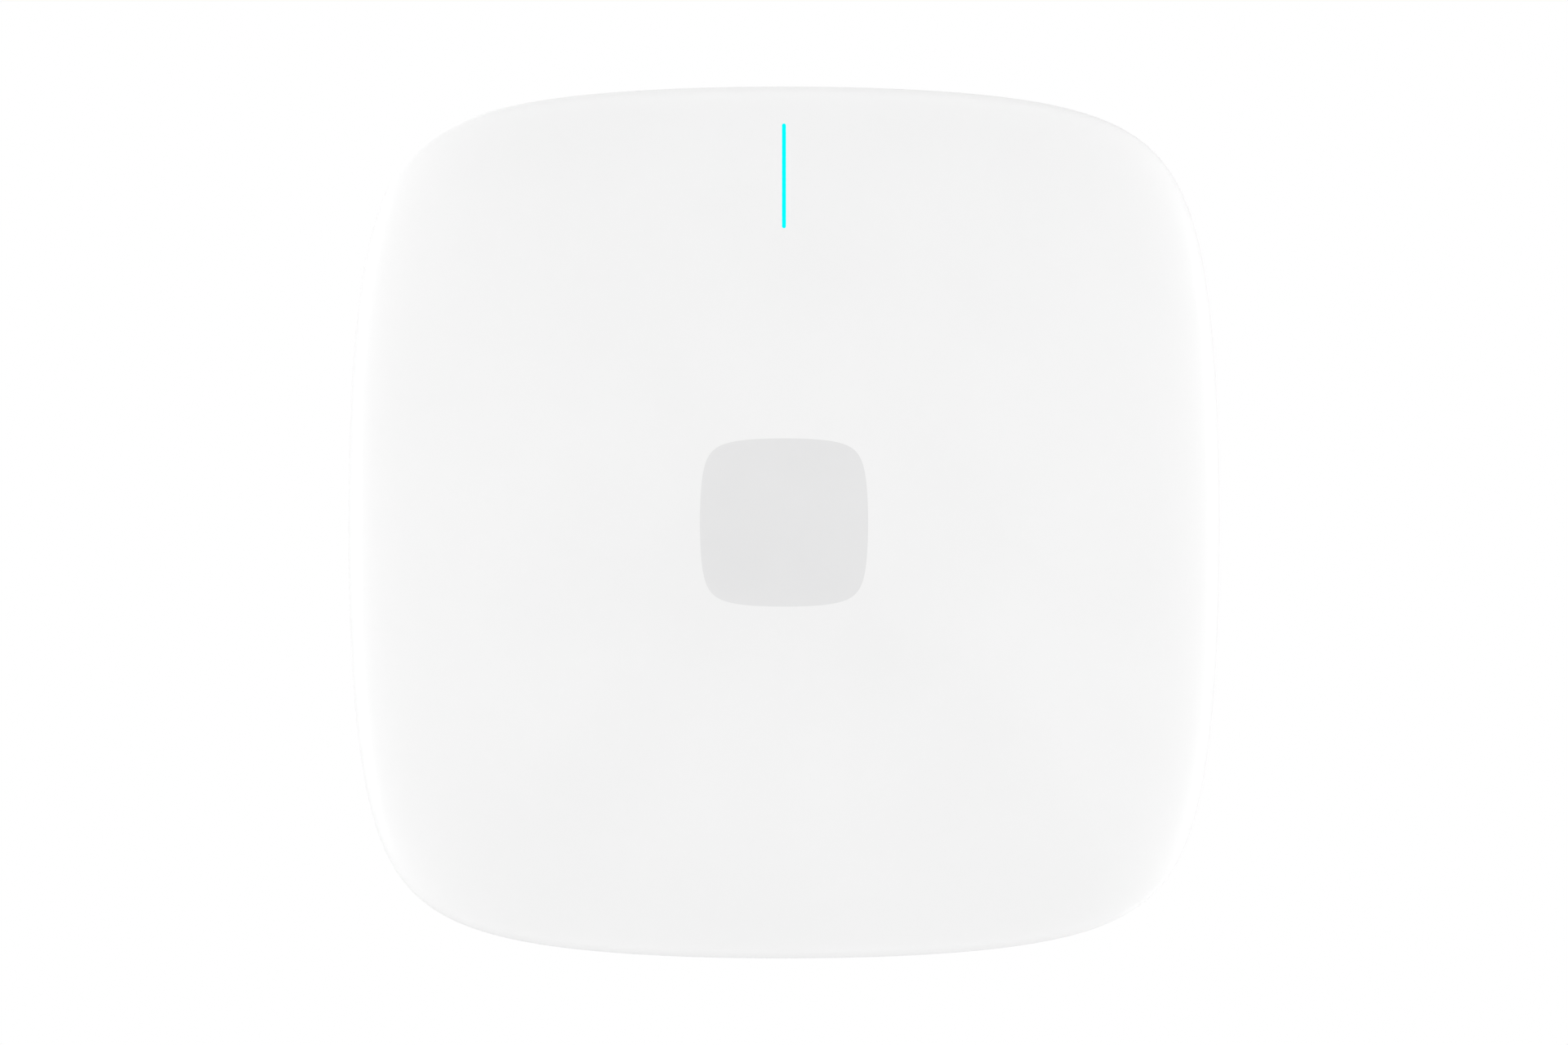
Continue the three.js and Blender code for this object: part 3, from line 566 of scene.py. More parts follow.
class ACCESSPOINT_OT_housing(bpy.types.Operator):
    """Makes the bowl-shaped rear housing with its recess, cable bay and port windows."""

    bl_idname = "accesspoint.housing"
    bl_label = "Rear housing"

    rim_scale = 0.975
    back_scale = 0.82
    curl = 2.2
    recess_radius = 76 * MM
    recess_z = -8 * MM
    floor_sheet = 2.2 * MM
    bay_half = 46 * MM
    bay_y = 54 * MM
    bay_z = -22.5 * MM
    lip_scales = (0.935, 0.952)
    tooth_radius = 48 * MM
    tooth_swing = math.radians(10.5)
    tooth_angle = math.radians(82.5)

    def execute(self, context):
        s = sizes()
        housing = self.bowl("rear_housing_skin", 0, s)
        hollow = self.bowl("hollow", self.wall_inset(s), s, MM)
        below = block("below", around(0, FAR), around(0, FAR), (-s.parting - MM, BACK_Z - s.wall))
        combine(hollow, [below], "INTERSECT")
        cut(housing, [hollow])
        join(housing, self.inner_walls(s))
        cut(housing, self.rooms(s))
        complete(housing, "access_point", "housing_plastic", ["rear_housing"], sharp=35)
        return {"FINISHED"}

    def wall_inset(self, s):
        """How much smaller the scale of the bowl's inner skin is than that of its outer one."""
        return s.wall / HALF + 0.004

    def bowl(self, name, inset, s, top=None):
        """Scale leaves the rim upright and falls with the power of the height towards the flat back."""
        t = np.linspace(0, 1, 26)
        height = -s.parting + t * (BACK_Z + s.parting)
        scale = self.rim_scale - inset - (self.rim_scale - self.back_scale) * t**self.curl
        levels = [[0, -s.parting], [scale[0] - 0.004, -s.parting], [scale[0], -s.parting + 0.35 * MM]]
        levels += np.column_stack([scale, height])[1:-1].tolist()
        if top is None:
            rolled = [(0.004, 0.35), (-0.003, 0.06), (-0.012, 0)]
            levels += [[self.back_scale + more, BACK_Z - deep * MM] for more, deep in rolled]
            levels.append([0, BACK_Z])
        else:
            levels += [[self.back_scale - inset, BACK_Z], [self.back_scale - inset, top], [0, top]]
        return square_loft(name, levels)

    def inner_walls(self, s):
        """Alignment lip, recess tub, bay walls kept inside the bowl, and the four screw columns."""
        rim, under_back = -s.parting, BACK_Z - 0.2 * MM
        hole_scale, lip_scale = self.lip_scales
        lip = square_slab("lip", lip_scale, rim - 3.5 * MM, rim + MM)
        cut(lip, [square_slab("lip_hole", hole_scale, rim - 5 * MM, rim + 2 * MM)])
        tub = shaft("tub", self.recess_radius + s.wall, low=self.recess_z - self.floor_sheet,
                    high=under_back, steps=160)
        bay_low = self.bay_z - self.floor_sheet
        bay = block("bay_walls", around(0, self.bay_half + s.wall), (self.bay_y - s.wall, HALF),
                    (bay_low, under_back))
        room = self.bowl("room", 0.003, s)
        join(room, [square_slab("room_low", 0.94, bay_low, rim + MM)])
        walls = combine(join(tub, [bay]), [room], "INTERSECT")
        columns = []
        for i in range(4):
            place = middle(f"rubber_foot_{i + 1}")[:2]
            columns.append(shaft("column", 5 * MM, place, rim, BACK_Z - MM))
        return [lip, walls] + columns

    def rooms(self, s):
        """Everything cut away: recess, bay, cable notch, heat sink, tooth slot, ports and screw wells."""
        r, z, top = self.recess_radius, self.recess_z, 2 * MM
        floor_edge = [(0, z), (r - 0.8 * MM, z), (r - 0.2 * MM, z + 0.25 * MM), (r, z + 0.9 * MM)]
        flare = from_mm([(0, -0.9), (0.12, -0.4), (0.45, -0.08), (0.9, 0.02)], r, BACK_Z)
        recess = turned("recess", floor_edge + flare + [(r + 0.9 * MM, top), (0, top)], steps=200)
        bay_half_y = (FAR - self.bay_y) / 2
        bay_outline = rounded_rectangle(self.bay_half, bay_half_y, 3 * MM) + [0, (self.bay_y + FAR) / 2]
        bay = prism("bay", bay_outline, self.bay_z, top)
        combine(bay, [self.bowl("bay_limit", self.wall_inset(s), s, top + MM)], "INTERSECT")
        notch = tunnel("notch", around(0, 18 * MM), around(0, 19 * MM), (self.bay_y + 20 * MM, FAR), 5 * MM)
        sink = shaft("sink_room", 69.3 * MM, low=z - 4 * MM, high=z + MM, steps=160)
        limit = block("sink_limit", around(0, 100 * MM), (43.3 * MM, 100 * MM), (z - 5 * MM, z + 2 * MM))
        cut(sink, [limit])
        tooth = rounded_rectangle(2.2 * MM, self.tooth_swing * self.tooth_radius, 0.8 * MM)
        tooth = bent(tooth, self.tooth_radius + 0.4 * MM, self.tooth_angle)
        rooms = [recess, bay, notch, sink, prism("tooth_slot", tooth, z - 5 * MM, z + 2 * MM)]
        return rooms + self.port_windows() + self.screw_wells()

    def port_windows(self):
        """One opening around each connector's face, a little wider than it."""
        gap = 0.25 * MM
        depth = (self.bay_y - 5 * MM, self.bay_y + MM)
        windows = []
        for node in ("ethernet_jack_1", "ethernet_jack_2", "power_jack"):
            low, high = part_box(node)
            windows.append(tunnel(node + "_window", grown((low.x, high.x), gap),
                                  grown((low.z, high.z), gap), depth, 0.4 * MM))
        x, _, z = middle("usb_tongue")
        windows.append(tunnel("usb_window", around(x, 4.95 * MM), around(z, 1.95 * MM), depth, 1.9 * MM))
        x, _, z = middle("reset_button")
        windows.append(round_tunnel("reset_window", 1.7 * MM, (x, z), depth))
        return windows

    def screw_wells(self):
        """Stepped well under each foot, with a bevelled mouth."""
        bottom, top, narrow, wide = -26 * MM, MM, 1.6, 6.6
        profile = [(0, bottom), (narrow * MM, bottom)]
        profile += from_mm([(narrow, -5.6), (3.3, -5.6), (3.3, -1.5), (6.3, -1.5), (6.3, -0.3), (wide, 0.02)],
                           z=BACK_Z)
        profile += [(wide * MM, top), (0, top)]
        return [turned("well", profile, middle(f"rubber_foot_{i + 1}")[:2], 48) for i in range(4)]


# ------------------------------------------------------------------ operators: fasteners and feet


class ACCESSPOINT_OT_fasteners(bpy.types.Operator):
    """Makes the rubber feet, the mushroom studs, the rivet and the jaw screws."""

    bl_idname = "accesspoint.fasteners"
    bl_label = "Feet, studs and screws"

    def execute(self, context):
        for i in range(1, 5):
            foot, stud = f"rubber_foot_{i}", f"mounting_stud_{i}"
            complete(self.foot(foot), "access_point", "rubber_grey", [foot])
            complete(self.stud(stud), "access_point", "screw_steel", [stud])
        complete(self.rivet(), "bracket", "screw_steel", ["latch_rivet"])
        for hand in ("left", "right"):
            screw = f"rail_jaw_screw_{hand}"
            complete(self.jaw_screw(screw), f"rail_jaw_{hand}", "screw_steel", [screw])
        return {"FINISHED"}

    def foot(self, node):
        """Pad with a rolled edge and a shallow ring pressed into its top."""
        low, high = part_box(node)
        r = (high.x - low.x) / 2
        edge = rolled_edge(r, high.z, 0.9 * MM, 7)
        wave = np.linspace(1, -1, 9)
        ring = np.column_stack([3.2 * MM + wave * MM, high.z - 0.35 * MM * (1 - wave**2)])
        profile = [[0, low.z], [r - 0.2 * MM, low.z], [r, low.z + 0.2 * MM]] + edge.tolist() + ring.tolist()
        return turned(node + "_rubber", profile + [[0, high.z]], middle(node)[:2], 64)

    def stud(self, node):
        """Plain end, shoulder, shank and a domed head with a six-lobe socket."""
        low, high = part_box(node)
        place = middle(node)[:2]
        profile = from_mm([(0, 0), (1.4, 0), (1.5, 0.3)], z=low.z)
        profile += from_mm([(1.5, -7.7), (4.8, -7.7), (5, -7.5), (5, -5.7), (4.8, -5.5), (2.2, -5.5),
                            (2, -5.3), (2, -3.9), (2.2, -3.7), (4.3, -3.7), (4.5, -3.5), (4.5, -2.8),
                            (4.25, -2.45), (3.7, -2.15)])
        profile += [(2.9 * MM, high.z), (0, high.z)]
        stud = turned(node + "_steel", profile, place, 64)
        return cut(stud, [self.six_lobe("socket", 1.55 * MM, place, high.z - 1.1 * MM, high.z + MM)])

    def six_lobe(self, name, radius, centre, low, high):
        """Star drive: the radius swings six times a turn."""
        angle = np.linspace(0, 2 * np.pi, 72, endpoint=False)
        reach = radius * (1 + 0.13 * np.cos(6 * angle))
        outline = np.column_stack([reach * np.cos(angle), reach * np.sin(angle)]) + centre
        return prism(name, outline, low, high)

    def rivet(self):
        """Domed head under the leaf, its tail through the plate above."""
        low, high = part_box("latch_rivet")
        turn = np.linspace(0, np.pi / 2, 7)
        head_z = low.z + 0.7 * MM
        head = np.column_stack([2.5 * MM * np.sin(turn), low.z + 0.7 * MM * (1 - np.cos(turn))])
        profile = head.tolist() + [(1.3 * MM, head_z)] + from_mm([(1.3, -0.3), (1.1, 0), (0, 0)], z=high.z)
        return turned("latch_rivet_steel", profile, middle("latch_rivet")[:2], 48)

    def jaw_screw(self, node):
        """Pan head with a six-lobe socket below, its end level with the jaw above."""
        low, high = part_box(node)
        place = middle(node)[:2]
        profile = from_mm([(0, 0), (2.6, 0), (3.2, 0.2), (3.5, 0.7)], z=low.z)
        profile += from_mm([(3.5, -3.1), (1.7, -3.1)])
        profile += from_mm([(1.7, -0.3), (1.4, 0), (0, 0)], z=high.z)
        screw = turned(node + "_steel", profile, place, 48)
        cut(screw, [self.six_lobe("socket", 1.5 * MM, place, low.z - MM, low.z + 1.2 * MM)])
        dimple = from_mm([(0, -0.5), (0.8, 0.02)], z=high.z) + [(0.8 * MM, MM), (0, MM)]
        return cut(screw, [turned("dimple", dimple, place, 32)])


# ------------------------------------------------------------------ operators: mounting plate


class ACCESSPOINT_OT_plate(bpy.types.Operator):
    """Makes the pressed mounting plate with its stud pads, rail channel and holes."""

    bl_idname = "accesspoint.plate"
    bl_label = "Mounting plate"

    twist = math.radians(15)
    jaw_x = (8 * MM, 26 * MM)
    jaw_y = (8.5 * MM, 43.4 * MM)
    slot_half = 2.3 * MM
    keyhole_places = ((-17, 30), (17, -34), (-20, -60), (20, -60))
    through = (-8 * MM, 2 * MM)

    def execute(self, context):
        p = plate_sizes()
        plate = self.blank(p)
        join(plate, self.pressings(p, p.sheet, 0))
        cut(plate, self.pressings(p, 0, p.sheet))
        join(plate, self.hooks(p))
        cut(plate, self.holes())
        combine(plate, [self.silhouette()], "INTERSECT")
        softened(plate, 0.14 * MM, 1)
        complete(plate, "bracket", "plate_steel", ["mounting_plate"], sharp=38)
        return {"FINISHED"}

    def pressings(self, p, grow, lift):
        """Every pressed shape: the outside of the sheet, or with a lift the room inside it."""
        channel = self.channel(p, grow, lift)
        return [channel] + self.pads(p, grow, lift) + self.jaw_beds(p, grow, lift)

    def blank(self, p):
        """Disc whose edge is turned down into a short rim with a rounded bend."""
        r, inner_r = PLATE_RADIUS, PLATE_RADIUS - p.sheet
        outer = rolled_edge(r, 0, 1.4 * MM, 8)
        inner = rolled_edge(inner_r, -p.sheet, p.bend, 8)
        profile = [[0, -p.sheet]] + inner[::-1].tolist() + [[inner_r, -p.rim], [r, -p.rim]] + outer.tolist()
        return turned("mounting_plate_steel", profile + [[0, 0]], steps=240)

    def pressed(self, name, outline_at, depth, grow, lift, p):
        """Solid of one pressed shape: a rounded foot, a straight wall and, inside, a rounded lip.

        The foot is a quarter circle inwards from the wall, the lip a quarter circle outwards from it; the
        outside of the pressing (no lift) stops inside the sheet instead.
        """
        turn = np.linspace(0, np.pi / 2, 7)[:, None]
        foot = 0.5 * MM if lift else 0.9 * MM
        low = -depth + lift
        levels = np.hstack([grow - foot + foot * np.sin(turn), low + foot - foot * np.cos(turn)])
        if lift:
            lip = np.hstack([grow + p.bend * (1 - np.cos(turn)), -p.bend + p.bend * np.sin(turn)])
            top = [[grow + p.bend, MM]]
        else:
            lip, top = np.empty((0, 2)), [[grow, -0.01 * MM]]
        levels = np.vstack([levels, lip, top])
        return lofted(name, [raised(outline_at(out), z) for out, z in levels])

    def pads(self, p, grow, lift):
        """Dished pad under each stud, bent round the twist axis."""
        shapes = []
        for i in range(4):
            x, y = middle(f"mounting_stud_{i + 1}")[:2]
            radius, angle = math.hypot(x, y), math.atan2(y, x)
            start, end = math.radians(-5.4), self.twist + math.radians(6)
            centre = angle + (start + end) / 2
            half = radius * (end - start) / 2

            def outline_at(out, radius=radius, centre=centre, half=half):
                flat = rounded_rectangle(6 * MM + out, half + out, 2.2 * MM + max(out, 0), 8, 10)
                return bent(flat, radius, centre)

            shapes.append(self.pressed("pad", outline_at, p.pad_drop, grow, lift, p))
        return shapes

    def channel(self, p, grow, lift):
        """Straight trough for the ceiling rail, along X."""
        reach = PLATE_RADIUS + 3 * MM

        def outline_at(out):
            return rounded_rectangle(reach, p.channel_half + out, 0.01 * MM, 1)

        return self.pressed("channel", outline_at, p.channel_depth + p.sheet, grow, lift, p)

    def jaw_beds(self, p, grow, lift):
        """Shallow bed each rail jaw slides in, open to the channel."""
        beds = []
        for side in (1, -1):
            centre = side * np.array([sum(self.jaw_x) / 2, sum(self.jaw_y) / 2])
            half = [(self.jaw_x[1] - self.jaw_x[0]) / 2 + 0.4 * MM, (self.jaw_y[1] - self.jaw_y[0]) / 2]

            def outline_at(out, centre=centre, half=half):
                return rounded_rectangle(half[0] + out, half[1] + out, 1.2 * MM + max(out, 0)) + centre

            depth = 0.4 * MM + 2 * p.sheet
            beds.append(self.pressed("jaw_bed", outline_at, depth, grow, lift, p))
        return beds

    def hooks(self, p):
        """Fixed fingers over the rail's flange, on the other diagonal from the jaws."""
        hooks = []
        for side in (1, -1):
            x = sorted([-side * self.jaw_x[0], -side * self.jaw_x[1]])
            y = sorted([side * self.jaw_y[0], side * (p.channel_half + 1.6 * MM)])
            hooks.append(block("hook", x, y, (-p.sheet, -0.001 * MM), 1.2 * MM))
        return hooks

    def keyhole(self, x, y):
        """Round entry for a screw head and a narrow slot from it towards +Y."""
        entry = shaft("entry", 4.25 * MM, (x, y))
        return [entry, self.long_hole("slot", self.slot_half, 7.5 * MM, x, y + 4.5 * MM)]

    def long_hole(self, name, half, half_length, x, y):
        """Slot with round ends, along Y."""
        return prism(name, rounded_rectangle(half, half_length, half, 10) + [x, y], *self.through)

    def holes(self):
        """Stud slots with entry holes, jaw slots, box slots, keyholes, cable hole and latch window."""
        w, entry_r = self.slot_half, 4.9 * MM
        holes = []
        for i in range(4):
            x, y = middle(f"mounting_stud_{i + 1}")[:2]
            radius, angle = math.hypot(x, y), math.atan2(y, x)
            half = radius * self.twist / 2 + w
            slot = bent(rounded_rectangle(w, half, w, 10, 10), radius, angle + self.twist / 2)
            entry = bent(rounded_rectangle(entry_r, entry_r, entry_r, 14), radius, angle + self.twist)
            holes += [prism("stud_slot", slot, *self.through), prism("stud_entry", entry, *self.through)]
        for side in (1, -1):
            holes.append(self.long_hole("jaw_slot", 2.1 * MM, 6.6 * MM, side * 17 * MM, side * 30.5 * MM))
            holes.append(self.long_hole("box_slot", w, 6 * MM, side * 41.9 * MM, 0))
        for x, y in self.keyhole_places:
            holes += self.keyhole(x * MM, y * MM)
        holes.append(shaft("cable_hole", 10 * MM, steps=96))
        holes.append(shaft("rivet_hole", 1.7 * MM, middle("latch_rivet")[:2]))
        holes.append(block("latch_window", around(0, 5.5 * MM), (27 * MM, 60 * MM), self.through, 1.5 * MM))
        return holes

    def silhouette(self):
        """Column over the plate's outline: the disc, cut flat towards the cable bay."""
        column = shaft("silhouette", PLATE_RADIUS, high=MM, steps=240)
        beyond = block("flat", around(0, 100 * MM), (PLATE_FLAT_Y, 100 * MM), (-9 * MM, 2 * MM))
        return cut(column, [beyond])


class ACCESSPOINT_OT_plate_parts(bpy.types.Operator):
    """Makes the two rail jaws and the spring latch."""

    bl_idname = "accesspoint.plate_parts"
    bl_label = "Rail jaws and latch"

    leaf_z = -4.6 * MM
    leaf_sheet = 0.8 * MM
    leaf_half = 4 * MM
    tab_half = 7 * MM

    def execute(self, context):
        for node, side in (("rail_jaw_right", 1), ("rail_jaw_left", -1)):
            complete(self.jaw(node, side), node, "spring_steel", [node])
        complete(self.latch(), "lock_latch", "spring_steel", ["lock_latch"])
        return {"FINISHED"}

    def jaw(self, node, side):
        """Flat jaw with rounded corners, a screw hole and five finger grooves at its outer end."""
        low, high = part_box(node)
        half = [(high.x - low.x) / 2, (high.y - low.y) / 2]
        x, y = middle(node)[:2]
        outline = rounded_rectangle(*half, 1.6 * MM) + [x, y]
        jaw = prism(node + "_steel", outline, low.z, high.z)
        screw = middle(node.replace("jaw", "jaw_screw"))[:2]
        holes = [shaft("hole", 1.95 * MM, screw)]
        for i in range(5):
            groove_y = y + side * (half[1] - (2.4 + 1.5 * i) * MM)
            holes.append(block("grip", around(x, 5 * MM), around(groove_y, 0.3 * MM),
                               (high.z - 0.35 * MM, MM), 0.3 * MM))
        return softened(cut(jaw, holes), 0.12 * MM)

    def latch(self):
        """Spring leaf with the tooth pressed down from it and the hole its rivet fills."""
        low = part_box("lock_latch")[0].z
        near, far, tooth_top = 46.6 * MM, 49.4 * MM, self.leaf_z + 0.3 * MM
        side = np.array([(near, tooth_top), (near, low + 0.3 * MM), (46.9 * MM, low), (47.9 * MM, low),
                         (far, low + 1.1 * MM), (far, tooth_top)])
        tooth = upright(prism("tooth", side, -2 * MM, 2 * MM), "X")
        return cut(join(self.leaf(), [tooth]), [shaft("hole", 1.65 * MM, middle("latch_rivet")[:2])])

    def leaf(self):
        """Strip swept along its bent lower line; a smooth step widens it to the thumb tab."""
        low = self.leaf_z / MM
        line = [(17, -2.3), (22.5, -2.3), (24.5, -2.38), (26, -2.62), (36, -4.28), (37.6, -4.52), (39.5, low),
                (56, low), (58.6, low - 0.02), (60.2, -4.95), (61.6, -5.75), (63.7, -7)]
        along = np.array(line) * MM
        step = np.gradient(along, axis=0)
        normal = np.column_stack([-step[:, 1], step[:, 0]]) / np.linalg.norm(step, axis=1)[:, None]
        top = along + normal * self.leaf_sheet
        share = np.clip((along[:, 0] - 54 * MM) / (4 * MM), 0, 1)
        half = self.leaf_half + (self.tab_half - self.leaf_half) * share**2 * (3 - 2 * share)
        half[[0, -1]] -= 0.7 * MM
        edge = 0.15 * MM
        loops = []
        for (y0, z0), (y1, z1), w in zip(along, top, half):
            loops.append([[-w, y0, z0 + edge], [-w + edge, y0, z0], [w - edge, y0, z0], [w, y0, z0 + edge],
                          [w, y1, z1 - edge], [w - edge, y1, z1], [-w + edge, y1, z1], [-w, y1, z1 - edge]])
        return lofted("lock_latch_steel", loops[::-1])


# ------------------------------------------------------------------ operators: connectors


class ACCESSPOINT_OT_ports(bpy.types.Operator):
    """Makes the network jacks, USB port, power jack and reset button."""

    bl_idname = "accesspoint.ports"
    bl_label = "Connectors"

    plug_half = 5.9 * MM
    plug_z = (-22.2 * MM, -14.3 * MM)
    lens_z = (-13.9 * MM, -12.1 * MM)

    def execute(self, context):
        for i in (1, 2):
            self.network_jack(i)
        self.usb()
        self.power()
        self.reset()
        return {"FINISHED"}

    def network_jack(self, i):
        """Tinned shell round a black insert with the plug's stepped mouth and two status windows."""
        node = f"ethernet_jack_{i}"
        low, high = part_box(node)
        x, wide = middle(node)[0], (low.x, high.x)
        shell = tunnel(node + "_shell", wide, (low.z, high.z), (low.y, high.y), 0.5 * MM)
        holes = [tunnel("well", grown(wide, -0.9 * MM), (low.z + 0.8 * MM, high.z - 0.6 * MM),
                        (low.y + 0.6 * MM, high.y + MM), 0.3 * MM)]
        for side in (-1, 1):
            holes.append(tunnel("spring_slot", around(x + side * 8 * MM, 0.5 * MM), (-19 * MM, -16.5 * MM),
                                (high.y - 5 * MM, high.y - 1.5 * MM), 0.4 * MM))
        cut(shell, holes)
        complete(softened(shell, 0.1 * MM, 1), "access_point", "tin_plate", [node])
        insert = tunnel(node + "_insert", grown(wide, -0.95 * MM), (low.z + 0.85 * MM, high.z - 0.65 * MM),
                        (low.y + 0.65 * MM, high.y - 0.25 * MM), 0.25 * MM)
        depth, top = (42 * MM, high.y + MM), self.plug_z[1]
        mouth = tunnel("mouth", around(x, self.plug_half), self.plug_z, depth, 0.2 * MM)
        step = tunnel("step", around(x, 3.2 * MM), (top - MM, top + 1.4 * MM), depth)
        catch = tunnel("catch", around(x, 1.6 * MM), (top, top + 2.4 * MM), depth)
        cut(insert, [mouth, step, catch])
        complete(softened(insert, 0.08 * MM, 1), "access_point", "port_black")
        for side, name in ((-1, "left"), (1, "right")):
            lens = tunnel(f"{node}_lens_{name}", around(x + side * 5.1 * MM, 1.4 * MM), self.lens_z,
                          (high.y - 3 * MM, high.y - 0.1 * MM), 0.3 * MM)
            complete(softened(lens, 0.15 * MM), "access_point", "led_lens")

    def usb(self):
        """Rolled shell with a rounded mouth on its stem."""
        low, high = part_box("usb_port")
        x, _, z = middle("usb_tongue")
        half_z, mouth_z = 1.7 * MM, 1.35 * MM
        shell = tunnel("usb_port_shell", (low.x, high.x), around(z, half_z), (low.y, high.y), half_z)
        cut(shell, [tunnel("mouth", grown((low.x, high.x), -0.35 * MM), around(z, mouth_z),
                           (low.y + 1.5 * MM, high.y + MM), mouth_z)])
        stem = block("stem", around(x, 3.5 * MM), (low.y + 0.5 * MM, low.y + 4.5 * MM),
                     (low.z, z - half_z + 0.2 * MM))
        join(shell, [stem])
        complete(softened(shell, 0.06 * MM, 1), "access_point", "tin_plate", ["usb_port"])

    def power(self):
        """Moulded body with a round socket and, round its mouth, a ring left standing in a groove."""
        low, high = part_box("power_jack")
        x, _, z = middle("power_pin")
        body = tunnel("power_jack_body", (low.x, high.x), (low.z, high.z), (low.y, high.y), 0.8 * MM)
        groove = round_tunnel("groove", 4.2 * MM, (x, z), (high.y - 0.4 * MM, high.y + MM))
        cut(groove, [round_tunnel("ring", 3.8 * MM, (x, z), (high.y - MM, high.y + 2 * MM))])
        cut(body, [groove, round_tunnel("socket", 3.2 * MM, (x, z), (44 * MM, high.y + MM))])
        complete(softened(body, 0.12 * MM, 1), "access_point", "port_black", ["power_jack"])
        complete(self.power_pin(x, z), "access_point", "tin_plate", ["power_pin"])

    def power_pin(self, x, z):
        """Centre pin with a round nose."""
        low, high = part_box("power_pin")
        radius = (high.x - low.x) / 2
        turn = np.linspace(0, np.pi / 2, 8)
        nose = np.column_stack([radius * np.sin(turn), high.y - radius + radius * np.cos(turn)])
        profile = [(r, -y) for r, y in nose] + [(radius, -low.y), (0, -low.y)]
        return upright(turned("power_pin_steel", profile, (x, z), 40), "Y")

    def reset(self):
        """Round plunger with a dished end, its collar behind the wall."""
        low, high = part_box("reset_button")
        x, _, z = middle("reset_button")
        profile = from_mm([(0, 0), (2.3, 0), (2.3, 1.1), (1.3, 1.1)], z=low.y)
        profile += from_mm([(1.3, -0.2), (1.1, 0), (0.6, -0.15), (0, -0.2)], z=high.y)
        button = turned("reset_button_cap", [(r, -y) for r, y in profile[::-1]], (x, z), 40)
        complete(upright(button, "Y"), "reset_button", "port_black", ["reset_button"])


# ------------------------------------------------------------------ node groups


def new_group(name, inputs, outputs):
    """Empty shader group with float inputs (name: default) and the named float outputs."""
    tree = bpy.data.node_groups.new(name, "ShaderNodeTree")
    for socket, default in inputs.items():
        made = tree.interface.new_socket(socket, in_out="INPUT", socket_type="NodeSocketFloat")
        made.default_value = default
    for socket in outputs:
        tree.interface.new_socket(socket, in_out="OUTPUT", socket_type="NodeSocketFloat")
    return tree, tree.nodes.new("NodeGroupInput"), tree.nodes.new("NodeGroupOutput")


def link(tree, source, target):
    tree.links.new(source, target)


def object_place(tree, stretch=(1, 1, 1)):
    """Object coordinates, stretched by a Mapping node."""
    place = tree.nodes.new("ShaderNodeTexCoord")
    mapping = tree.nodes.new("ShaderNodeMapping")
    mapping.inputs["Scale"].default_value = stretch
    link(tree, place.outputs["Object"], mapping.inputs["Vector"])
    return mapping.outputs["Vector"]


def noise(tree, vector, scale, detail):
    """Fractal noise; the scale is a number or a socket."""
    node = tree.nodes.new("ShaderNodeTexNoise")
    node.inputs["Detail"].default_value = detail
    node.inputs["Roughness"].default_value = 0.55
    link(tree, vector, node.inputs["Vector"])
    if isinstance(scale, (int, float)):
        node.inputs["Scale"].default_value = scale
    else:
        link(tree, scale, node.inputs["Scale"])
    return node.outputs["Fac"]


def cells(tree, given, place):
    """Voronoi cells at the scale that the group is given."""
    node = tree.nodes.new("ShaderNodeTexVoronoi")
    link(tree, place, node.inputs["Vector"])
    link(tree, given.outputs["Scale"], node.inputs["Scale"])
    return node


def maths(tree, operation, first, second):
    """One Math node on numbers or sockets."""
    node = tree.nodes.new("ShaderNodeMath")
    node.operation = operation
    for socket, value in zip(node.inputs, (first, second)):
        if isinstance(value, (int, float)):
            socket.default_value = value
        else:
            link(tree, value, socket)
    return node.outputs[0]


def weighted(tree, first, first_share, second, second_share):
    """Sum of two values, each times its share."""
    return maths(tree, "ADD", maths(tree, "MULTIPLY", first, first_share),
                 maths(tree, "MULTIPLY", second, second_share))


def remap(tree, value, low, high, to_low=0.0, to_high=1.0):
    """Stretches a range of a value onto another, clamped."""
    node = tree.nodes.new("ShaderNodeMapRange")
    link(tree, value, node.inputs["Value"])
    for socket, number in zip(("From Min", "From Max", "To Min", "To Max"), (low, high, to_low, to_high)):
        node.inputs[socket].default_value = number
    return node.outputs["Result"]


def slow_tone(tree, given, place):
    """Slow shifts of tone, from 0 to 1."""
    return remap(tree, noise(tree, place, given.outputs["Tone scale"], 4.0), 0.3, 0.7)


def moulded_grain():
    """Spark-eroded moulding texture: fine noise and small pits, with slow shifts of tone."""
    tree, given, out = new_group("moulded_grain", {"Scale": 2200.0, "Tone scale": 22.0}, ["Height", "Tone"])
    place = object_place(tree)
    fine = noise(tree, place, given.outputs["Scale"], 2.0)
    pits = cells(tree, given, place).outputs["Distance"]
    link(tree, weighted(tree, fine, 0.6, pits, 0.4), out.inputs["Height"])
    link(tree, slow_tone(tree, given, place), out.inputs["Tone"])


def rolled_sheet():
    """Rolled sheet: long fine streaks along X over cloudy tone."""
    tree, given, out = new_group("rolled_sheet", {"Scale": 60.0, "Tone scale": 30.0}, ["Height", "Tone"])
    streaks = noise(tree, object_place(tree, (1, 45, 45)), given.outputs["Scale"], 3.0)
    clouds = noise(tree, object_place(tree), given.outputs["Tone scale"], 4.0)
    link(tree, streaks, out.inputs["Height"])
    link(tree, remap(tree, weighted(tree, streaks, 0.5, clouds, 0.5), 0.35, 0.65), out.inputs["Tone"])


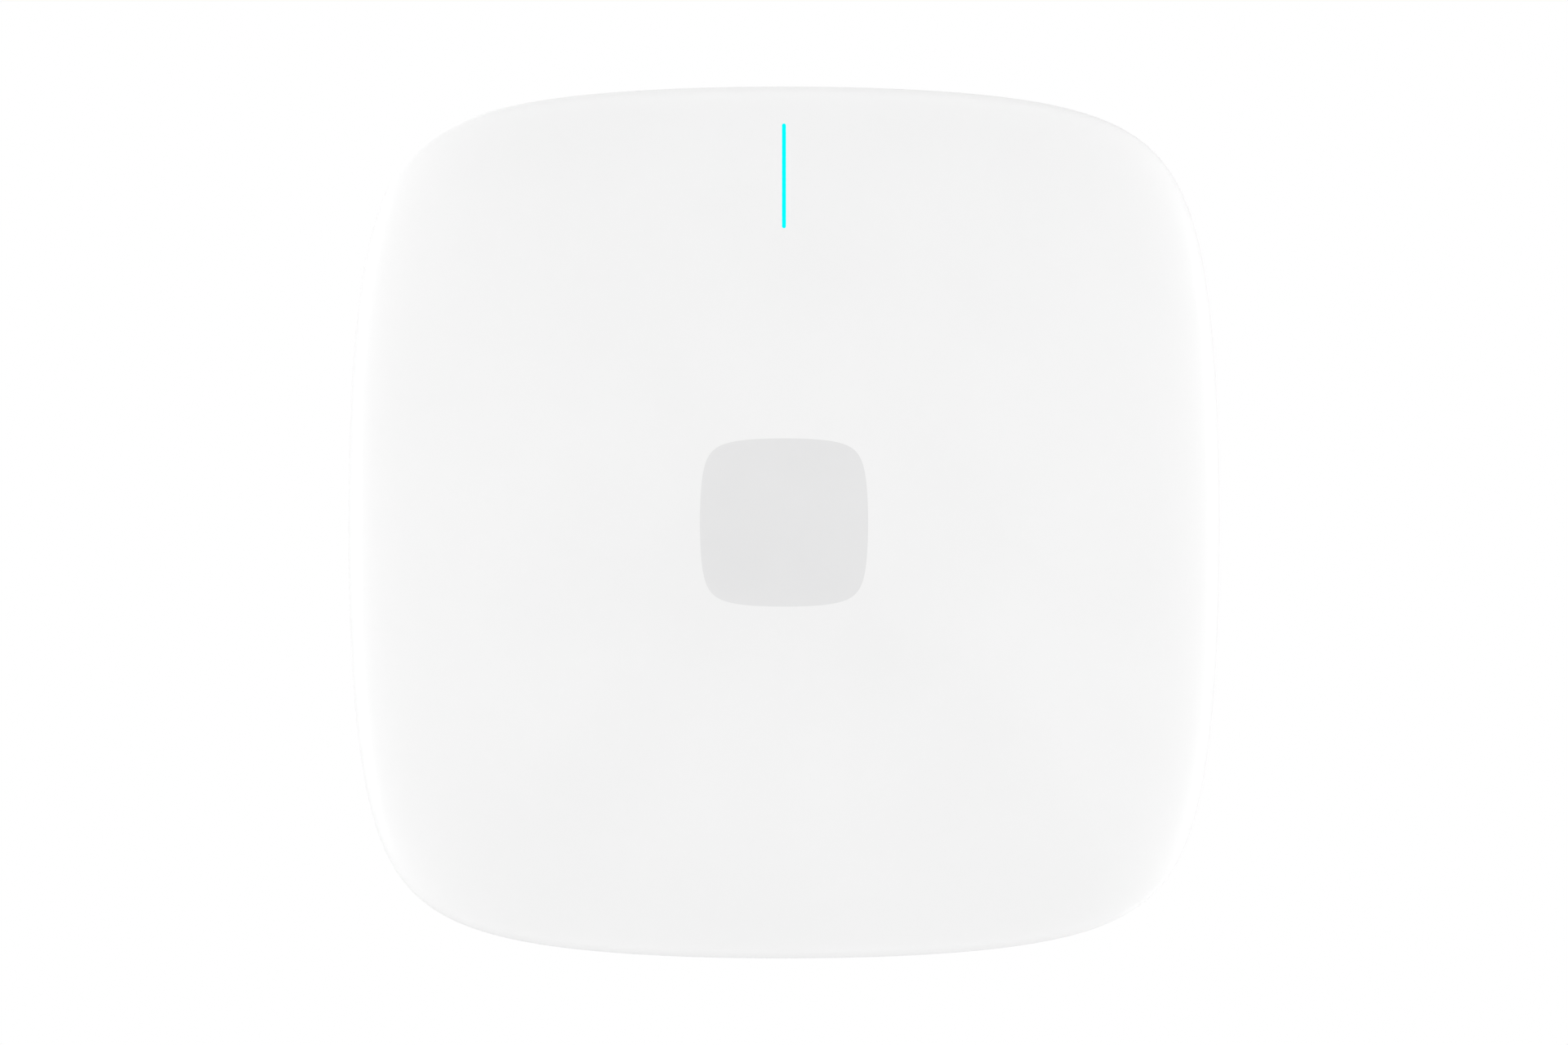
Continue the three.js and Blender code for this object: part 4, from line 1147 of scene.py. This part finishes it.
def zinc_flower():
    """Zinc plating: soft crystal patches of differing tone over a fine rolled grain."""
    tree, given, out = new_group("zinc_flower", {"Scale": 190.0, "Tone scale": 25.0}, ["Height", "Tone"])
    place = object_place(tree)
    shade = tree.nodes.new("ShaderNodeSeparateColor")
    link(tree, cells(tree, given, place).outputs["Color"], shade.inputs["Color"])
    crystal = shade.outputs["Red"]
    streaks = noise(tree, object_place(tree, (1, 30, 30)), 70.0, 3.0)
    clouds = noise(tree, place, given.outputs["Tone scale"], 3.0)
    link(tree, weighted(tree, crystal, 0.45, clouds, 0.55), out.inputs["Tone"])
    link(tree, weighted(tree, streaks, 0.7, crystal, 0.3), out.inputs["Height"])


def cast_skin():
    """Blasted casting: coarse grains under fine noise."""
    tree, given, out = new_group("cast_skin", {"Scale": 900.0, "Tone scale": 60.0}, ["Height", "Tone"])
    place = object_place(tree)
    grains = cells(tree, given, place).outputs["Distance"]
    link(tree, maths(tree, "ADD", grains, noise(tree, place, 1500.0, 2.0)), out.inputs["Height"])
    link(tree, slow_tone(tree, given, place), out.inputs["Tone"])


def board_tracks():
    """Circuit board: copper tracks as thin lines between square cells, a little raised."""
    tree, given, out = new_group("board_tracks", {"Scale": 260.0}, ["Height", "Tone"])
    squares = cells(tree, given, object_place(tree))
    squares.distance = "MANHATTAN"
    track = maths(tree, "PINGPONG", maths(tree, "MULTIPLY", squares.outputs["Distance"], 4.0), 0.5)
    mask = remap(tree, track, 0.22, 0.3)
    link(tree, mask, out.inputs["Height"])
    link(tree, mask, out.inputs["Tone"])


# ------------------------------------------------------------------ materials


def mixed(tree, share, first, second):
    """Mix of two colours by a share socket."""
    first_socket, second_socket, result_socket = 6, 7, 2  # the Mix node's colour sockets
    node = tree.nodes.new("ShaderNodeMix")
    node.data_type = "RGBA"
    link(tree, share, node.inputs["Factor"])
    node.inputs[first_socket].default_value = (*first, 1)
    node.inputs[second_socket].default_value = (*second, 1)
    return node.outputs[result_socket]


def scaled(tint, share):
    """Colour times a share."""
    return tuple(channel * share for channel in tint)


def patterned(name, pattern, scales=()):
    """New material, its shader, and the pattern group in it at the given scales."""
    material = bpy.data.materials.new(name)
    material.use_nodes = True
    tree = material.node_tree
    group = tree.nodes.new("ShaderNodeGroup")
    group.node_tree = bpy.data.node_groups[pattern]
    for socket, value in zip(("Scale", "Tone scale"), scales):
        group.inputs[socket].default_value = value
    return material, tree.nodes["Principled BSDF"], group


def finish(name, pattern, base, other, roughness, metal=0.0, bump=(0.2, 0.02), scales=(), specular=0.5):
    """Principled finish whose tone and bump come from a pattern group.

    base and other are the colours that the pattern's tone mixes, roughness the pair it runs between, and
    bump the strength and depth in millimetres.
    """
    material, shader, group = patterned(name, pattern, scales)
    material.diffuse_color = (*base, 1)
    tree = material.node_tree
    shader.inputs["Metallic"].default_value = metal
    shader.inputs["Specular IOR Level"].default_value = specular
    link(tree, mixed(tree, group.outputs["Tone"], base, other), shader.inputs["Base Color"])
    link(tree, remap(tree, group.outputs["Tone"], 0, 1, *roughness), shader.inputs["Roughness"])
    relief = tree.nodes.new("ShaderNodeBump")
    relief.inputs["Strength"].default_value = bump[0]
    relief.inputs["Distance"].default_value = bump[1] * MM
    link(tree, group.outputs["Height"], relief.inputs["Height"])
    link(tree, relief.outputs["Normal"], shader.inputs["Normal"])


class ACCESSPOINT_OT_finishes(bpy.types.Operator):
    """Builds the pattern groups and every material, and dresses the CAD nodes that stay."""

    bl_idname = "accesspoint.finishes"
    bl_label = "Finishes"

    def execute(self, context):
        for build in (moulded_grain, rolled_sheet, zinc_flower, cast_skin, board_tracks):
            build()
        self.build_materials(colours())
        self.dress_nodes()
        return {"FINISHED"}

    def build_materials(self, c):
        """Every material: the moulded whites first, then metals, boards, blacks and the floor."""
        white, shell, mark, rubber = (tuple(tint) for tint in (c.cover, c.housing, c.mark, c.rubber))
        zinc, steel = tuple(c.zinc), tuple(c.steel)
        grain, sheet = "moulded_grain", "rolled_sheet"
        finish("cover_white", grain, white, scaled(white, 0.985), (0.42, 0.5), bump=(0.25, 0.012),
               scales=(2400, 18), specular=0.4)
        finish("housing_white", grain, shell, scaled(shell, 0.97), (0.44, 0.56), bump=(0.9, 0.06),
               scales=(1500, 22), specular=0.4)
        finish("mark_grey", grain, mark, scaled(mark, 0.985), (0.5, 0.58), bump=(0.2, 0.01),
               scales=(2400, 40), specular=0.35)
        self.glow(tuple(c.light))
        finish("zinc_plate", "zinc_flower", zinc, scaled(zinc, 0.74), (0.24, 0.42), 1.0, (0.22, 0.02))
        finish("spring_steel", sheet, steel, scaled(steel, 0.7), (0.24, 0.4), 1.0, (0.2, 0.01))
        finish("nickel", sheet, (0.62, 0.6, 0.56), (0.5, 0.48, 0.45), (0.18, 0.34), 1.0, (0.12, 0.008),
               scales=(120, 90))
        finish("cast_aluminium", "cast_skin", (0.58, 0.59, 0.6), (0.46, 0.47, 0.48), (0.5, 0.68), 1.0,
               (0.5, 0.05))
        finish("tinned", sheet, (0.74, 0.75, 0.76), (0.62, 0.63, 0.64), (0.2, 0.36), 1.0, (0.12, 0.01),
               scales=(160, 120))
        finish("circuit_board", "board_tracks", (0.008, 0.07, 0.03), (0.02, 0.13, 0.055), (0.5, 0.36),
               bump=(0.4, 0.03), specular=0.3)
        finish("epoxy", grain, (0.018, 0.018, 0.02), (0.026, 0.026, 0.028), (0.5, 0.66),
               bump=(0.3, 0.02), scales=(1500, 120))
        finish("port_black", grain, (0.012, 0.012, 0.013), (0.02, 0.02, 0.021), (0.4, 0.55),
               bump=(0.2, 0.01), scales=(1800, 150))
        finish("gold", sheet, (0.83, 0.6, 0.24), (0.72, 0.5, 0.18), (0.16, 0.28), 1.0, (0.1, 0.005))
        finish("rubber", grain, rubber, scaled(rubber, 1.3), (0.72, 0.86), bump=(0.9, 0.08),
               scales=(1100, 90), specular=0.25)
        finish("silicone", grain, (0.25, 0.34, 0.46), (0.21, 0.3, 0.42), (0.6, 0.75),
               bump=(0.3, 0.04), scales=(700, 60))
        finish("tray_plastic", grain, (0.6, 0.6, 0.59), (0.55, 0.55, 0.545), (0.5, 0.62),
               bump=(0.3, 0.02), scales=(1400, 40))
        finish("lens_clear", grain, (0.75, 0.76, 0.72), (0.7, 0.71, 0.67), (0.12, 0.2),
               bump=(0.05, 0.01), scales=(600, 60))
        finish("floor", grain, (0.83, 0.83, 0.83), (0.8, 0.8, 0.8), (0.8, 0.9), bump=(0.1, 0.1),
               scales=(40, 0.4))

    def glow(self, tint):
        """Lit light pipe: an even glow with a faint shift of tone, its surface all but free of shine."""
        material, shader, group = patterned("bar_light", "moulded_grain", (2200, 120))
        tree = material.node_tree
        shader.inputs["Roughness"].default_value = 0.35
        shader.inputs["Specular IOR Level"].default_value = 0.01
        shader.inputs["Emission Strength"].default_value = 1.0
        shader.inputs["Base Color"].default_value = (*scaled(tint, 0.05), 1)
        link(tree, mixed(tree, group.outputs["Tone"], tint, scaled(tint, 0.985)),
             shader.inputs["Emission Color"])

    def dress_nodes(self):
        """Gives each kept CAD node the finish of its slot."""
        for entry in frame["record"]["subparts"]:
            node = frame["nodes"][entry["node"]]
            node.data.materials.clear()
            node.data.materials.append(bpy.data.materials[FINISH_OF_SLOT[entry["material_slot"]]])


# ------------------------------------------------------------------ panel and registration


class ACCESSPOINT_PT_panel(bpy.types.Panel):
    """Lists the sizes, the colours and the steps that make the unit."""

    bl_idname = "ACCESSPOINT_PT_panel"
    bl_label = "Access point"
    bl_space_type = "VIEW_3D"
    bl_region_type = "UI"
    bl_category = "Access point"

    def draw(self, context):
        layout = self.layout
        scene = context.scene
        for settings in (scene.casing_sizes, scene.plate_sizes, scene.finish_colours):
            box = layout.box()
            for prop in settings.bl_rna.properties:
                if prop.identifier not in {"rna_type", "name"}:
                    box.prop(settings, prop.identifier)
        for operator in OPERATORS:
            layout.operator(operator.bl_idname)


OPERATORS = (
    ACCESSPOINT_OT_finishes,
    ACCESSPOINT_OT_stage,
    ACCESSPOINT_OT_cover,
    ACCESSPOINT_OT_housing,
    ACCESSPOINT_OT_fasteners,
    ACCESSPOINT_OT_plate,
    ACCESSPOINT_OT_plate_parts,
    ACCESSPOINT_OT_ports,
)
CLASSES = (CasingSizes, PlateSizes, FinishColours, *OPERATORS, ACCESSPOINT_PT_panel)


def register():
    for cls in CLASSES:
        bpy.utils.register_class(cls)
    bpy.types.Scene.casing_sizes = PointerProperty(type=CasingSizes)
    bpy.types.Scene.plate_sizes = PointerProperty(type=PlateSizes)
    bpy.types.Scene.finish_colours = PointerProperty(type=FinishColours)


def unregister():
    del bpy.types.Scene.finish_colours
    del bpy.types.Scene.plate_sizes
    del bpy.types.Scene.casing_sizes
    for cls in reversed(CLASSES):
        bpy.utils.unregister_class(cls)


def main():
    """Registers the add-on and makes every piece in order."""
    register()
    bpy.ops.accesspoint.finishes()
    bpy.ops.accesspoint.stage()
    bpy.ops.accesspoint.cover()
    bpy.ops.accesspoint.housing()
    bpy.ops.accesspoint.fasteners()
    bpy.ops.accesspoint.plate()
    bpy.ops.accesspoint.plate_parts()
    bpy.ops.accesspoint.ports()


if __name__ == "__main__":
    main()
